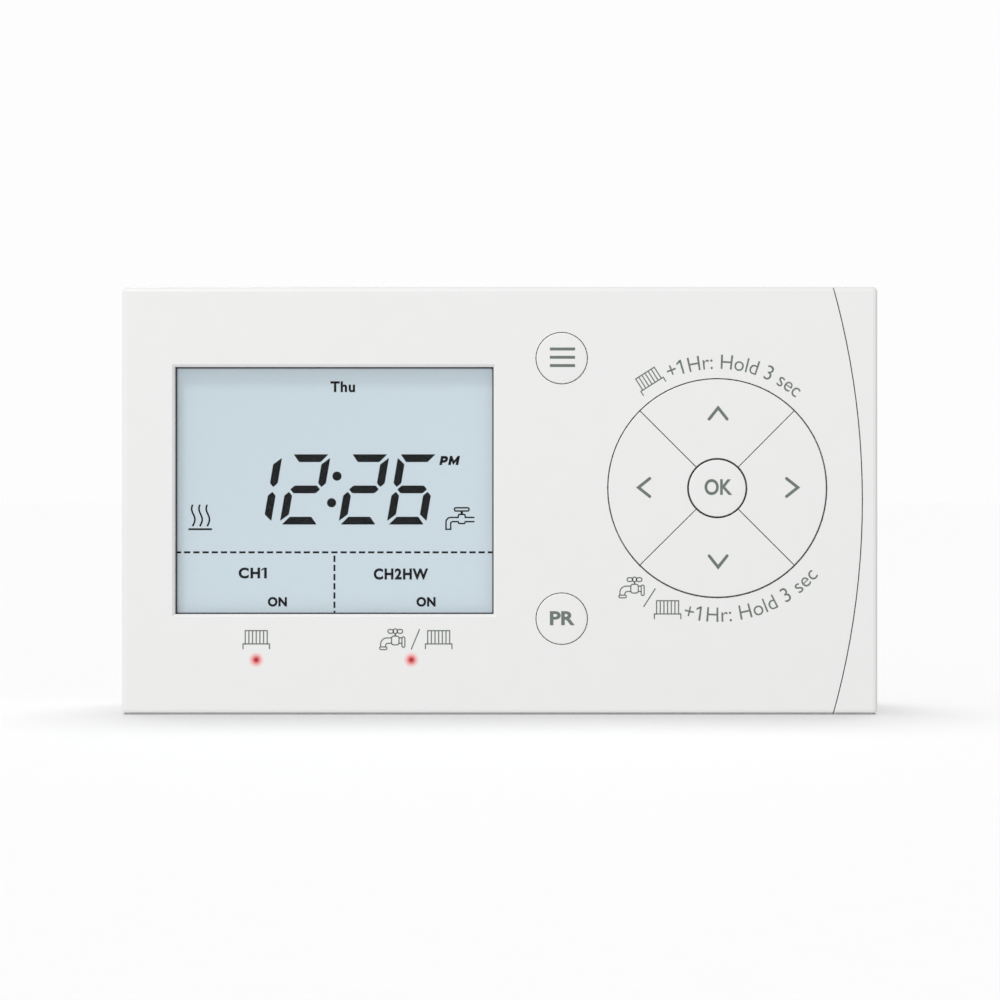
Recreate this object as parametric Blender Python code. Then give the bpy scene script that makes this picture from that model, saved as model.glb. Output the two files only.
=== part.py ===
"""Two-channel heating programmer: a control module that hooks onto a wall plate.

X runs to the right, Y into the wall and Z up, in metres. The origin is the middle of
the wall plate's back face, so every piece lies at negative Y, and the front is at the
most negative Y. The module hangs on two lugs at the plate's top, swings out at the
bottom to come off, and is held shut by two captive screws in its underside.
"""

import math

import bmesh
import bpy
from mathutils import Matrix, Vector

MM = 0.001

# Overall size and the general clearances.
WIDTH = 160.0 * MM
HEIGHT = 90.5 * MM
DEPTH = 31.0 * MM
WALL = 1.8 * MM
INNER_WALL = 1.6 * MM
EDGE_RADIUS = 1.05 * MM
GAP = 0.3 * MM
SEAM = 0.25 * MM
OVER = 1.0 * MM
WELD = 0.004 * MM
RIGHT = WIDTH / 2
TOP = HEIGHT / 2
INNER_RIGHT = RIGHT - WALL
INNER_TOP = TOP - WALL

# Layers from the front face to the wall, as Y values.
FACE = -DEPTH
FACE_BACK = FACE + WALL
LENS = (FACE_BACK + GAP, FACE_BACK + GAP + 1.3 * MM)
GLASS = (LENS[1] + GAP, LENS[1] + GAP + 2.4 * MM)
LIGHT_GUIDE = (GLASS[1] + GAP, GLASS[1] + GAP + 2.6 * MM)
BOARD = (-20.4 * MM, -18.8 * MM)
ON_BOARD = BOARD[0] - GAP
BEHIND_BOARD = BOARD[1] + GAP
COVER_BACK = -17.8 * MM
CASE_FRONT = COVER_BACK + GAP
CASE_BACK = -0.5 * MM
SHALLOW = (-11.6 * MM, -11.6 * MM + INNER_WALL)
DEEP = (-6.2 * MM, -6.2 * MM + INNER_WALL)
PLATE_THICKNESS = 2.4 * MM
PLATE = (-PLATE_THICKNESS, 0.0)
ON_PLATE = PLATE[0] - GAP

# The seam between the front cover and its end cover is an arc, bulging to the right.
ARC_RADIUS = 168.2 * MM
ARC_CENTRE_X = -91.5 * MM
ARC_STEPS = 24

# Display window and the pieces behind it, as (left, right) and (bottom, top).
WINDOW_X = (-68.8 * MM, -1.3 * MM)
WINDOW_Z = (-24.1 * MM, 28.3 * MM)
WINDOW_BEVEL = 0.5 * MM
LENS_MARGIN = 2.0 * MM
GLASS_MARGIN = 0.7 * MM
CONTACT_LEDGE = 3.2 * MM
FRAME_WALL = 3.4 * MM

# Keys: two round ones and a pad of four sectors around a centre key.
ROUND_KEY_X = 13.1 * MM
MENU_Z = 30.1 * MM
PROGRAM_Z = -25.0 * MM
ROUND_KEY_RADIUS = 5.3 * MM
PAD_X = 46.0 * MM
PAD_Z = 2.6 * MM
PAD_RADIUS = 23.05 * MM
CENTRE_KEY_RADIUS = 6.12 * MM
KEY_TOP = FACE - 0.3 * MM
KEY_BACK = FACE_BACK + 1.1 * MM
KEY_FLANGE = 1.25 * MM
FLANGE_THICKNESS = 0.8 * MM
CENTRE_FLANGE = (-27.2 * MM, -26.4 * MM)
STEM_RADIUS = 1.5 * MM
STEM_END = -23.7 * MM
SWITCH_OFFSET = 15.0 * MM
SWITCH_SIDE = 6.2 * MM
SWITCH_FRONT = -24.1 * MM
PAD_SIDES = 64
SECTOR_STEPS = PAD_SIDES // 4
KEY_SIDES = 32

# Status lights under the display.
LIGHTS_X = (-51.5 * MM, -18.7 * MM)
LIGHTS_Z = -33.7 * MM
LIGHT_TIP_RADIUS = 0.62 * MM
LIGHT_HOLE_RADIUS = 0.8 * MM
LIGHT_PIPE_RADIUS = 1.2 * MM

# Circuit board and the posts that hold it.
BOARD_X = (-76.0 * MM, 67.0 * MM)
BOARD_Z = (-40.0 * MM, 40.0 * MM)
POSTS_X = (-72.0 * MM, 63.6 * MM)
POSTS_Z = (-36.5 * MM, 36.5 * MM)
POST_RADIUS = 2.2 * MM

# The case is shallow above this height, to leave room for the wiring behind it.
STEP_Z = 3.0 * MM
CHAMFER_HEIGHT = 3.65 * MM
CHAMFER_DEPTH = 1.9 * MM

# Wall plate, its hooks at the top and its flanges at the bottom.
PLATE_RIGHT = 67.0 * MM
PLATE_TOP = 38.0 * MM
PLATE_CORNER = 3.0 * MM
CABLE_HOLE_X = 20.0 * MM
CABLE_HOLE_Z = (5.0 * MM, 15.0 * MM)
FIXING_X = 30.15 * MM
SIDE_FIXING_X = 57.0 * MM
SIDE_FIXING_Z = -22.0 * MM
SLOT_RADIUS = 2.1 * MM
SLOT_LENGTH = 9.0 * MM
HINGE_Y = -5.0 * MM
HINGE_Z = 40.2 * MM
HOOK_X = 45.0 * MM
HOOK_HALF_WIDTH = 4.0 * MM
BAR_RADIUS = 1.2 * MM
BAR_HALF_LENGTH = 6.5 * MM
FLANGE_Z = (-37.6 * MM, -35.6 * MM)
FLANGE_HALF_WIDTH = 7.0 * MM
FLANGE_FRONT = -9.4 * MM

# Captive screws in the underside.
CAPTIVE_X = 50.0 * MM
CAPTIVE_Y = -7.0 * MM
POCKET_HALF_WIDTH = 9.0 * MM
POCKET_TOP = -34.0 * MM
BOSS_TOP = -41.2 * MM
HEAD_SEAT = -42.7 * MM

# Terminals on the wall plate and the blades that plug into them.
TERMINALS = 6
PITCH = 12.0 * MM
BLOCK_Z = (18.0 * MM, 36.2 * MM)
BLOCK_FRONT = -9.4 * MM
BLOCK_END_WALL = 1.5 * MM
TERMINAL_SCREW_Z = 22.0 * MM
BLADE_Z = (28.5 * MM, 32.5 * MM)
BLADE_HALF_THICKNESS = 0.4 * MM
BLADE_TIP = -4.9 * MM
STRIP = (-4.6 * MM, -3.6 * MM)
EARTH_X = -47.0 * MM

# Colour (linear), roughness and metallic value of each material.
MATERIALS = {
    "case_plastic": ((0.82, 0.82, 0.81), 0.45, 0.0),
    "key_plastic": ((0.83, 0.83, 0.82), 0.4, 0.0),
    "plate_plastic": ((0.72, 0.72, 0.70), 0.5, 0.0),
    "clear_plastic": ((0.80, 0.86, 0.88), 0.08, 0.0),
    "display_glass": ((0.58, 0.67, 0.73), 0.15, 0.0),
    "diffuser": ((0.75, 0.80, 0.82), 0.35, 0.0),
    "frame_plastic": ((0.25, 0.25, 0.26), 0.5, 0.0),
    "rubber_strip": ((0.06, 0.06, 0.07), 0.8, 0.0),
    "board": ((0.02, 0.16, 0.07), 0.45, 0.0),
    "black_plastic": ((0.02, 0.02, 0.02), 0.45, 0.0),
    "relay_plastic": ((0.03, 0.07, 0.2), 0.4, 0.0),
    "capacitor_plastic": ((0.7, 0.55, 0.05), 0.4, 0.0),
    "varistor_coat": ((0.02, 0.15, 0.45), 0.5, 0.0),
    "can_aluminium": ((0.6, 0.6, 0.62), 0.3, 0.9),
    "red_light": ((0.6, 0.02, 0.03), 0.25, 0.0),
    "terminal_plastic": ((0.55, 0.55, 0.52), 0.5, 0.0),
    "brass": ((0.66, 0.47, 0.16), 0.3, 1.0),
    "tinned_brass": ((0.62, 0.6, 0.55), 0.3, 1.0),
    "steel": ((0.5, 0.5, 0.5), 0.3, 1.0),
}


# Shapes


def clear_scene():
    for obj in list(bpy.data.objects):
        bpy.data.objects.remove(obj)


def make_materials():
    made = {}
    for name, (colour, roughness, metallic) in MATERIALS.items():
        material = bpy.data.materials.new(name)
        material.use_nodes = True
        shader = material.node_tree.nodes["Principled BSDF"]
        shader.inputs["Base Color"].default_value = (*colour, 1.0)
        shader.inputs["Roughness"].default_value = roughness
        shader.inputs["Metallic"].default_value = metallic
        made[name] = material
    return made


def object_from(bm, name):
    bmesh.ops.recalc_face_normals(bm, faces=bm.faces)
    mesh = bpy.data.meshes.new(name)
    bm.to_mesh(mesh)
    bm.free()
    obj = bpy.data.objects.new(name, mesh)
    bpy.context.scene.collection.objects.link(obj)
    return obj


def block_mesh(x, y, z):
    bm = bmesh.new()
    bmesh.ops.create_cube(bm, size=1.0)
    for vert in bm.verts:
        for axis, (low, high) in enumerate((x, y, z)):
            vert.co[axis] = high if vert.co[axis] > 0 else low
    return bm


def block(name, x, y, z):
    """A box between two values along each axis."""
    return object_from(block_mesh(x, y, z), name)


def around(middle, half):
    return (middle - half, middle + half)


def grown(span, by):
    return (span[0] - by, span[1] + by)


def rounded_block(name, x, y, z, radius, round_front=False):
    """A box whose edges along Y are rounded, and its front edges too if asked."""
    bm = block_mesh(x, y, z)

    def is_rounded(edge):
        first, second = (vert.co for vert in edge.verts)
        along_y = abs(first.y - second.y) > 0.5 * (y[1] - y[0])
        return along_y or (round_front and max(first.y, second.y) < sum(y) / 2)

    edges = [edge for edge in bm.edges if is_rounded(edge)]
    bmesh.ops.bevel(bm, geom=edges, offset=radius, segments=3, profile=0.5, affect="EDGES")
    return object_from(bm, name)


def prism(name, outline, span, axis="Y"):
    """An outline extruded along Y, from (x, z) points, or along X, from (y, z) points."""
    bm = bmesh.new()
    if axis == "Y":
        corners = [(x, span[0], z) for x, z in outline]
        along = Vector((0, span[1] - span[0], 0))
    else:
        corners = [(span[0], y, z) for y, z in outline]
        along = Vector((span[1] - span[0], 0, 0))
    face = bm.faces.new([bm.verts.new(corner) for corner in corners])
    extruded = bmesh.ops.extrude_face_region(bm, geom=[face])
    moved = [item for item in extruded["geom"] if isinstance(item, bmesh.types.BMVert)]
    bmesh.ops.translate(bm, verts=moved, vec=along)
    return object_from(bm, name)


def turned(name, centre, profile, sides, axis="Y"):
    """A solid of revolution. The profile's (radius, position) points start and end on the axis."""
    bm = bmesh.new()
    verts = [bm.verts.new((radius, 0.0, position)) for radius, position in profile]
    edges = [bm.edges.new(pair) for pair in zip(verts, verts[1:])]
    bmesh.ops.spin(
        bm, geom=verts + edges, cent=(0, 0, 0), axis=(0, 0, 1),
        angle=2 * math.pi, steps=sides, use_merge=True,
    )
    bmesh.ops.remove_doubles(bm, verts=bm.verts, dist=1e-7)
    if axis == "Y":
        bmesh.ops.rotate(bm, verts=bm.verts, matrix=Matrix.Rotation(-math.pi / 2, 3, "X"))
    bmesh.ops.translate(bm, verts=bm.verts, vec=centre)
    return object_from(bm, name)


def rod(name, centre, radius, span, sides, axis="Y"):
    """A cylinder. The centre is a point that the span is measured from, along the axis."""
    profile = [(0.0, span[0]), (radius, span[0]), (radius, span[1]), (0.0, span[1])]
    return turned(name, centre, profile, sides, axis)


def bar_along_x(name, x, y, z, radius, sides):
    bm = bmesh.new()
    turn = Matrix.Translation((sum(x) / 2, y, z)) @ Matrix.Rotation(math.pi / 2, 4, "Y")
    bmesh.ops.create_cone(
        bm, cap_ends=True, segments=sides, radius1=radius, radius2=radius,
        depth=x[1] - x[0], matrix=turn,
    )
    return object_from(bm, name)


def rounded_slot(x, z, radius, length, y, upright=False):
    """A cutter for a slot with round ends, centred at (x, z)."""
    reach = length / 2 - radius
    outline = []
    for quarter_turns in (0, 2):
        start = quarter_turns * math.pi / 2 - math.pi / 2
        side = reach if quarter_turns == 0 else -reach
        for step in range(9):
            angle = start + step * math.pi / 8
            outline.append((side + radius * math.cos(angle), radius * math.sin(angle)))
    if upright:
        outline = [(-pz, px) for px, pz in outline]
    return prism("slot", [(x + px, z + pz) for px, pz in outline], y)


def weld(mesh):
    """Merge the points that a Boolean leaves less than a few microns apart."""
    bm = bmesh.new()
    bm.from_mesh(mesh)
    bmesh.ops.dissolve_degenerate(bm, dist=WELD, edges=bm.edges)
    bmesh.ops.remove_doubles(bm, verts=bm.verts, dist=WELD)
    bm.to_mesh(mesh)
    bm.free()


def combine(target, operation, tools):
    """Apply a Boolean of each tool to the target, and remove the tools."""
    for tool in tools:
        modifier = target.modifiers.new(operation, "BOOLEAN")
        modifier.operation = operation
        modifier.solver = "EXACT"
        modifier.object = tool
        graph = bpy.context.evaluated_depsgraph_get()
        result = bpy.data.meshes.new_from_object(target.evaluated_get(graph))
        target.modifiers.clear()
        weld(result)
        target.data = result
        bpy.data.objects.remove(tool)
    return target


def cut(target, *tools):
    return combine(target, "DIFFERENCE", tools)


def join(target, *tools):
    return combine(target, "UNION", tools)


def keep(target, tool):
    return combine(target, "INTERSECT", [tool])


def set_origin(obj, point):
    """Put the object's origin at a point without moving its shape."""
    obj.data.transform(Matrix.Translation(-Vector(point)))
    obj.location = point
    return obj


def repeated(source, name, offset):
    """Another object that shares the source's mesh, moved by the offset."""
    twin = bpy.data.objects.new(name, source.data)
    twin.location = source.location + Vector(offset)
    bpy.context.scene.collection.objects.link(twin)
    return twin


def finish(obj, material, smooth=False):
    obj.data.materials.clear()
    obj.data.materials.append(material)
    if smooth:
        obj.data.shade_smooth()
        obj.data.set_sharp_from_angle(angle=math.radians(35))
    return obj


# Shells of the module


def arc_x(radius, z):
    return ARC_CENTRE_X + math.sqrt(radius**2 - z**2)


def beside_arc(name, radius, far_x, y):
    """A solid that fills one side of the arc, out to far_x."""
    reach = TOP + 5 * OVER
    heights = [reach * (2 * step / ARC_STEPS - 1) for step in range(ARC_STEPS + 1)]
    outline = [(arc_x(radius, z), z) for z in heights]
    outline += [(far_x, reach), (far_x, -reach)]
    return prism(name, outline, y)


def full_shell_block(name):
    """The front half's outer shape, before the arc divides it."""
    return rounded_block(
        name, around(0, RIGHT), (FACE, COVER_BACK), around(0, TOP), EDGE_RADIUS, round_front=True
    )


def tongue_slots(clearance):
    """The two tongues of the end cover or, with a clearance, their slots in the front cover."""
    made = []
    for z in (-30.0 * MM, 30.0 * MM):
        x = (arc_x(ARC_RADIUS, z) - 4.5 * MM, INNER_RIGHT + 0.5 * WALL)
        y = around(-23.0 * MM, 0.8 * MM + clearance)
        made.append(block("tongue", x, y, around(z, 3.0 * MM + clearance)))
    return made


def window_cutter():
    """The window and the sloping edge round it at the face, as one solid."""
    bm = bmesh.new()
    rings = []
    for y, wider in (
        (FACE - OVER, WINDOW_BEVEL + OVER),
        (FACE + WINDOW_BEVEL, 0.0),
        (COVER_BACK + OVER, 0.0),
    ):
        (left, right), (low, high) = grown(WINDOW_X, wider), grown(WINDOW_Z, wider)
        corners = ((left, low), (right, low), (right, high), (left, high))
        rings.append([bm.verts.new((x, y, z)) for x, z in corners])
    for first, second in zip(rings, rings[1:]):
        for here in range(4):
            bm.faces.new((first[here - 1], first[here], second[here], second[here - 1]))
    bm.faces.new(rings[0])
    bm.faces.new(rings[-1])
    return object_from(bm, "window")


def front_cover(materials):
    through = (FACE - OVER, COVER_BACK + OVER)
    inside = (FACE_BACK, COVER_BACK + OVER)
    cover = full_shell_block("front_cover")
    keep(cover, beside_arc("left_side", ARC_RADIUS - SEAM / 2, -2 * RIGHT, through))
    cavity = block("cavity", around(0, INNER_RIGHT), inside, around(0, INNER_TOP))
    wall_arc = ARC_RADIUS - SEAM / 2 - INNER_WALL
    keep(cavity, beside_arc("inside_arc", wall_arc, -2 * RIGHT, through))
    cut(cover, cavity)
    posts = [
        rod("post", (x, 0, z), POST_RADIUS, (FACE_BACK - 0.5 * WALL, ON_BOARD), 12)
        for x in POSTS_X
        for z in POSTS_Z
    ]
    join(cover, *posts)
    cut(cover, window_cutter())
    for z in (MENU_Z, PROGRAM_Z):
        hole = ROUND_KEY_RADIUS + SEAM
        cut(cover, rod("key_hole", (ROUND_KEY_X, 0, z), hole, through, KEY_SIDES))
    cut(cover, rod("pad_hole", (PAD_X, 0, PAD_Z), PAD_RADIUS + SEAM, through, PAD_SIDES))
    for x in LIGHTS_X:
        cut(cover, rod("light_hole", (x, 0, LIGHTS_Z), LIGHT_HOLE_RADIUS, through, 12))
    cut(cover, *tongue_slots(GAP))
    return finish(cover, materials["case_plastic"])


def end_cover(materials):
    through = (FACE - OVER, COVER_BACK + OVER)
    cover = full_shell_block("end_cover")
    keep(cover, beside_arc("right_side", ARC_RADIUS + SEAM / 2, 2 * RIGHT, through))
    inside = (FACE_BACK, COVER_BACK + OVER)
    cut(cover, block("cavity", around(0, INNER_RIGHT), inside, around(0, INNER_TOP)))
    join(cover, *tongue_slots(0))
    set_origin(cover, (RIGHT, -23.0 * MM, 0))
    return finish(cover, materials["case_plastic"])


def case_body():
    """The rear case's walls and its stepped partition."""
    case = rounded_block(
        "rear_case", around(0, RIGHT), (CASE_FRONT, CASE_BACK), around(0, TOP), EDGE_RADIUS
    )
    below = (-INNER_TOP, STEP_Z - INNER_WALL / 2)
    above = (STEP_Z + INNER_WALL / 2, INNER_TOP)
    across = around(0, INNER_RIGHT)
    front = CASE_FRONT - OVER
    back = CASE_BACK + OVER
    cut(
        case,
        block("front_space", across, (front, SHALLOW[0]), around(0, INNER_TOP)),
        block("front_space_below", across, (front, DEEP[0]), below),
        block("back_space", across, (DEEP[1], back), around(0, INNER_TOP)),
        block("back_space_above", across, (SHALLOW[1], back), above),
    )
    return case


def add_screw_pocket(case, x):
    """A pocket in the underside for one captive screw, with the boss that carries it."""
    outer = POCKET_HALF_WIDTH + INNER_WALL
    wall_top = POCKET_TOP + INNER_WALL
    floor = -INNER_TOP - 0.5 * WALL
    join(case, block("pocket_walls", around(x, outer), (SHALLOW[0], DEEP[1]), (floor, wall_top)))
    room = (-INNER_TOP, POCKET_TOP)
    cut(case, block("pocket", around(x, POCKET_HALF_WIDTH), (SHALLOW[1], 0), room))
    boss_y = (SHALLOW[1] - 0.5 * INNER_WALL, -3.0 * MM)
    join(case, block("boss", around(x, 4.0 * MM), boss_y, (floor, BOSS_TOP)))
    centre = (x, CAPTIVE_Y, 0)
    cut(
        case,
        rod("head_bore", centre, 3.1 * MM, (-TOP - OVER, HEAD_SEAT), 24, "Z"),
        rod("shank_bore", centre, 1.8 * MM, (HEAD_SEAT - OVER, BOSS_TOP + OVER), 16, "Z"),
    )


def add_hinge_bar(case, x):
    """A bar that hangs in one of the wall plate's hooks, between two webs."""
    bar = bar_along_x("bar", around(x, BAR_HALF_LENGTH), HINGE_Y, HINGE_Z, BAR_RADIUS, 16)
    webs = []
    for side in (-1, 1):
        span = around(x + side * (BAR_HALF_LENGTH + 0.25 * MM), 0.75 * MM)
        height = (HINGE_Z - 1.4 * MM, INNER_TOP + 0.5 * WALL)
        webs.append(block("web", span, (SHALLOW[1] - 0.5 * INNER_WALL, -3.5 * MM), height))
    join(case, *webs, bar)


def add_lip(case):
    """Three strips on the rim that locate the front cover."""
    overlap = 0.4 * MM
    root_y = (CASE_FRONT + GAP, CASE_FRONT + 2.0 * MM)
    lip_y = (CASE_FRONT - 2.0 * MM, CASE_FRONT + 2 * GAP)
    long_side = (-70.0 * MM, 65.0 * MM)
    for side in (-1, 1):
        root_z = sorted((side * (INNER_TOP + overlap), side * (INNER_TOP - 1.5 * MM)))
        lip_z = sorted((side * (INNER_TOP - GAP), side * (INNER_TOP - 1.5 * MM)))
        join(case, block("lip_root", long_side, root_y, root_z))
        join(case, block("lip", long_side, lip_y, lip_z))
    root_x = (-INNER_RIGHT - overlap, -INNER_RIGHT + 1.5 * MM)
    lip_x = (-INNER_RIGHT + GAP, -INNER_RIGHT + 1.5 * MM)
    join(case, block("lip_root", root_x, root_y, (-30.0 * MM, 30.0 * MM)))
    join(case, block("lip", lip_x, lip_y, (-30.0 * MM, 30.0 * MM)))


def add_posts(case):
    """Posts that carry the board's corners from behind."""
    for z in POSTS_Z:
        partition = SHALLOW if z > STEP_Z else DEEP
        length = (BEHIND_BOARD, partition[0] + 0.5 * INNER_WALL)
        join(case, *[rod("post", (x, 0, z), POST_RADIUS, length, 12) for x in POSTS_X])


def add_chamfer(case):
    """Cut the top back edge away, so that it clears the wall as the module swings out."""
    reach = 1.5
    behind = CASE_BACK + OVER
    low = TOP - CHAMFER_HEIGHT
    high = TOP + (reach - 1) * CHAMFER_HEIGHT
    outline = [(CASE_BACK, low), (behind, low), (behind, high), (CASE_BACK - reach * CHAMFER_DEPTH, high)]
    cut(case, prism("chamfer", outline, around(0, RIGHT + OVER), axis="X"))


def rear_case(materials):
    case = case_body()
    deck_x = (68.0 * MM, INNER_RIGHT + 0.5 * WALL)
    deck_z = around(0, INNER_TOP + 0.5 * WALL)
    deck_y = (CASE_FRONT + GAP, CASE_FRONT + INNER_WALL)
    join(case, block("deck", deck_x, deck_y, deck_z))
    for x in (-CAPTIVE_X, CAPTIVE_X):
        add_screw_pocket(case, x)
    for x in (-HOOK_X, HOOK_X):
        add_hinge_bar(case, x)
    add_lip(case)
    add_posts(case)
    slot_x = BLADE_HALF_THICKNESS + GAP
    slot_z = (BLADE_Z[0] - GAP, BLADE_Z[1] + GAP)
    slot_y = (SHALLOW[0] - OVER, SHALLOW[1] + OVER)
    for x in terminal_places():
        cut(case, block("blade_slot", around(x, slot_x), slot_y, slot_z))
    add_chamfer(case)
    return finish(case, materials["case_plastic"])


# Display


def display(materials):
    lens = block("display_lens", grown(WINDOW_X, LENS_MARGIN), LENS, grown(WINDOW_Z, LENS_MARGIN))
    finish(lens, materials["clear_plastic"])
    glass_x = grown(WINDOW_X, GLASS_MARGIN)
    glass_z = (WINDOW_Z[0] - GLASS_MARGIN - CONTACT_LEDGE, WINDOW_Z[1] + GLASS_MARGIN)
    guide_z = grown(WINDOW_Z, GLASS_MARGIN)
    panel = block("lcd_panel", glass_x, GLASS, glass_z)
    finish(panel, materials["display_glass"])
    guide = block("backlight_guide", glass_x, LIGHT_GUIDE, guide_z)
    finish(guide, materials["diffuser"])
    room = 0.5 * MM
    frame = rounded_block(
        "display_frame", grown(glass_x, FRAME_WALL), (GLASS[0], ON_BOARD),
        (glass_z[0] - 2.6 * MM, glass_z[1] + FRAME_WALL), 1.5 * MM,
    )
    tray = (GLASS[0] - OVER, LIGHT_GUIDE[1] + GAP)
    cut(frame, block("tray", grown(glass_x, room), tray, grown(glass_z, room)))
    strip_x = (glass_x[0] + 11 * MM, glass_x[1] - 11 * MM)
    strip_z = (glass_z[0] + 0.4 * MM, guide_z[0] - 0.6 * MM)
    through = (GLASS[0] - OVER, ON_BOARD + OVER)
    cut(frame, block("strip_slot", grown(strip_x, GAP), through, grown(strip_z, GAP)))
    finish(frame, materials["frame_plastic"])
    strip = block("lcd_connector", strip_x, (LIGHT_GUIDE[0], ON_BOARD), strip_z)
    finish(strip, materials["rubber_strip"])
    return [lens, panel, guide, frame, strip]


def status_lights(materials):
    pipe_profile = [
        (0.0, FACE),
        (LIGHT_TIP_RADIUS, FACE),
        (LIGHT_TIP_RADIUS, LENS[0]),
        (LIGHT_PIPE_RADIUS, LENS[0]),
        (LIGHT_PIPE_RADIUS, ON_BOARD - 1.2 * MM),
        (0.0, ON_BOARD - 1.2 * MM),
    ]
    made = []
    for number, x in enumerate(LIGHTS_X, 1):
        pipe = turned(f"light_pipe_{number}", (x, 0, LIGHTS_Z), pipe_profile, 12)
        made.append(finish(pipe, materials["clear_plastic"], smooth=True))
        body = (ON_BOARD - 0.9 * MM, ON_BOARD)
        chip = block(f"led_{number}", around(x, 1.6 * MM), body, around(LIGHTS_Z, 0.8 * MM))
        made.append(finish(chip, materials["red_light"]))
    return made


# Keys


def round_key(name, x, z, radius, flange, sides):
    """A key turned about its own centre: cap, flange and stem."""
    profile = [
        (0.0, KEY_TOP),
        (radius, KEY_TOP),
        (radius, flange[0]),
        (radius + KEY_FLANGE, flange[0]),
        (radius + KEY_FLANGE, flange[1]),
        (STEM_RADIUS, flange[1]),
        (STEM_RADIUS, STEM_END),
        (0.0, STEM_END),
    ]
    key = turned(name, (x, 0, z), profile, sides)
    return set_origin(key, (x, FACE, z))


def ring_sector(name, profile, middle_angle):
    """A quarter of a ring. The profile's (radius, position) points are its closed section.

    The straight sides lie half a seam inside the diagonals, so a seam parts two sectors.
    """
    bm = bmesh.new()
    sections = []
    for step in range(SECTOR_STEPS + 1):
        share = 2 * step / SECTOR_STEPS - 1
        section = []
        for radius, y in profile:
            angle = middle_angle + share * (math.pi / 4 - math.asin(0.5 * SEAM / radius))
            x = PAD_X + radius * math.cos(angle)
            section.append(bm.verts.new((x, y, PAD_Z + radius * math.sin(angle))))
        sections.append(section)
    for first, second in zip(sections, sections[1:]):
        for here, after in zip(range(-1, len(profile) - 1), range(len(profile))):
            bm.faces.new((first[here], first[after], second[after], second[here]))
    bm.faces.new(sections[0])
    bm.faces.new(sections[-1])
    return object_from(bm, name)


def sector_key(name, angle):
    inner = CENTRE_KEY_RADIUS + SEAM
    rim = PAD_RADIUS + SEAM + KEY_FLANGE
    profile = [
        (inner, KEY_TOP),
        (PAD_RADIUS, KEY_TOP),
        (PAD_RADIUS, KEY_BACK - FLANGE_THICKNESS),
        (rim, KEY_BACK - FLANGE_THICKNESS),
        (rim, KEY_BACK),
        (inner, KEY_BACK),
    ]
    key = ring_sector(name, profile, angle)
    x = PAD_X + SWITCH_OFFSET * math.cos(angle)
    z = PAD_Z + SWITCH_OFFSET * math.sin(angle)
    join(key, rod("stem", (x, 0, z), STEM_RADIUS, (KEY_BACK - OVER, STEM_END), 12))
    return set_origin(key, (x, FACE, z))


def keys(materials):
    flange = (KEY_BACK - FLANGE_THICKNESS, KEY_BACK)
    made = [
        round_key("menu_button", ROUND_KEY_X, MENU_Z, ROUND_KEY_RADIUS, flange, KEY_SIDES),
        round_key("program_button", ROUND_KEY_X, PROGRAM_Z, ROUND_KEY_RADIUS, flange, KEY_SIDES),
        round_key("ok_button", PAD_X, PAD_Z, CENTRE_KEY_RADIUS, CENTRE_FLANGE, KEY_SIDES),
    ]
    for quarter, name in enumerate(("right", "up", "left", "down")):
        made.append(sector_key(f"key_{name}", quarter * math.pi / 2))
    for key in made:
        finish(key, materials["key_plastic"], smooth=True)
    return made


def switches(made_keys, materials):
    """A tactile switch behind each key, bored to take the key's stem."""
    first = made_keys[0].location
    half = SWITCH_SIDE / 2
    base = block("switch_menu", around(first.x, half), (SWITCH_FRONT, ON_BOARD), around(first.z, half))
    bore = (SWITCH_FRONT - OVER, SWITCH_FRONT + 1.2 * MM)
    cut(base, rod("bore", (first.x, 0, first.z), STEM_RADIUS + 0.4 * MM, bore, 12))
    set_origin(base, (first.x, SWITCH_FRONT, first.z))
    made = [finish(base, materials["black_plastic"])]
    for key in made_keys[1:]:
        name = key.name.replace("_button", "").replace("key_", "")
        made.append(repeated(base, f"switch_{name}", key.location - first))
    return made


# Circuit board


def board_pieces(materials):
    """The board and what is soldered to it: slim parts in front, tall ones low down behind."""
    board = rounded_block("main_board", BOARD_X, BOARD, BOARD_Z, 2.0 * MM)
    made = [finish(board, materials["board"])]
    relay_y = (BEHIND_BOARD, DEEP[0] - 0.5 * MM)
    for number, x in enumerate((-18.0 * MM, 8.0 * MM), 1):
        relay = rounded_block(
            f"relay_{number}", around(x, 8.9 * MM), relay_y, around(-20.0 * MM, 5.1 * MM), 0.6 * MM
        )
        made.append(finish(relay, materials["relay_plastic"]))
    capacitor = rounded_block(
        "mains_capacitor", around(36.0 * MM, 9.0 * MM), (BEHIND_BOARD, DEEP[0] - 1.2 * MM),
        around(-20.0 * MM, 4.2 * MM), 0.8 * MM,
    )
    made.append(finish(capacitor, materials["capacitor_plastic"]))
    can_end = DEEP[0] - 0.8 * MM
    can_profile = [
        (0.0, BEHIND_BOARD),
        (4.6 * MM, BEHIND_BOARD),
        (5.0 * MM, BEHIND_BOARD + 0.5 * MM),
        (5.0 * MM, can_end - 0.5 * MM),
        (4.6 * MM, can_end),
        (0.0, can_end),
    ]
    can = turned("smoothing_capacitor", (-42.0 * MM, 0, -20.0 * MM), can_profile, 20)
    made.append(finish(can, materials["can_aluminium"], smooth=True))
    disc = rod(
        "varistor", (56.0 * MM, BEHIND_BOARD + 5.2 * MM, 0), 5.0 * MM,
        around(-18.0 * MM, 2.0 * MM), 20, "Z",
    )
    made.append(finish(disc, materials["varistor_coat"], smooth=True))
    chip_y = (ON_BOARD - 1.5 * MM, ON_BOARD)
    chip = block("microcontroller", around(15.0 * MM, 5.0 * MM), chip_y, around(PAD_Z, 5.0 * MM))
    made.append(finish(chip, materials["black_plastic"]))
    return made + cell_and_holder(materials) + contact_blades(materials)


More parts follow.
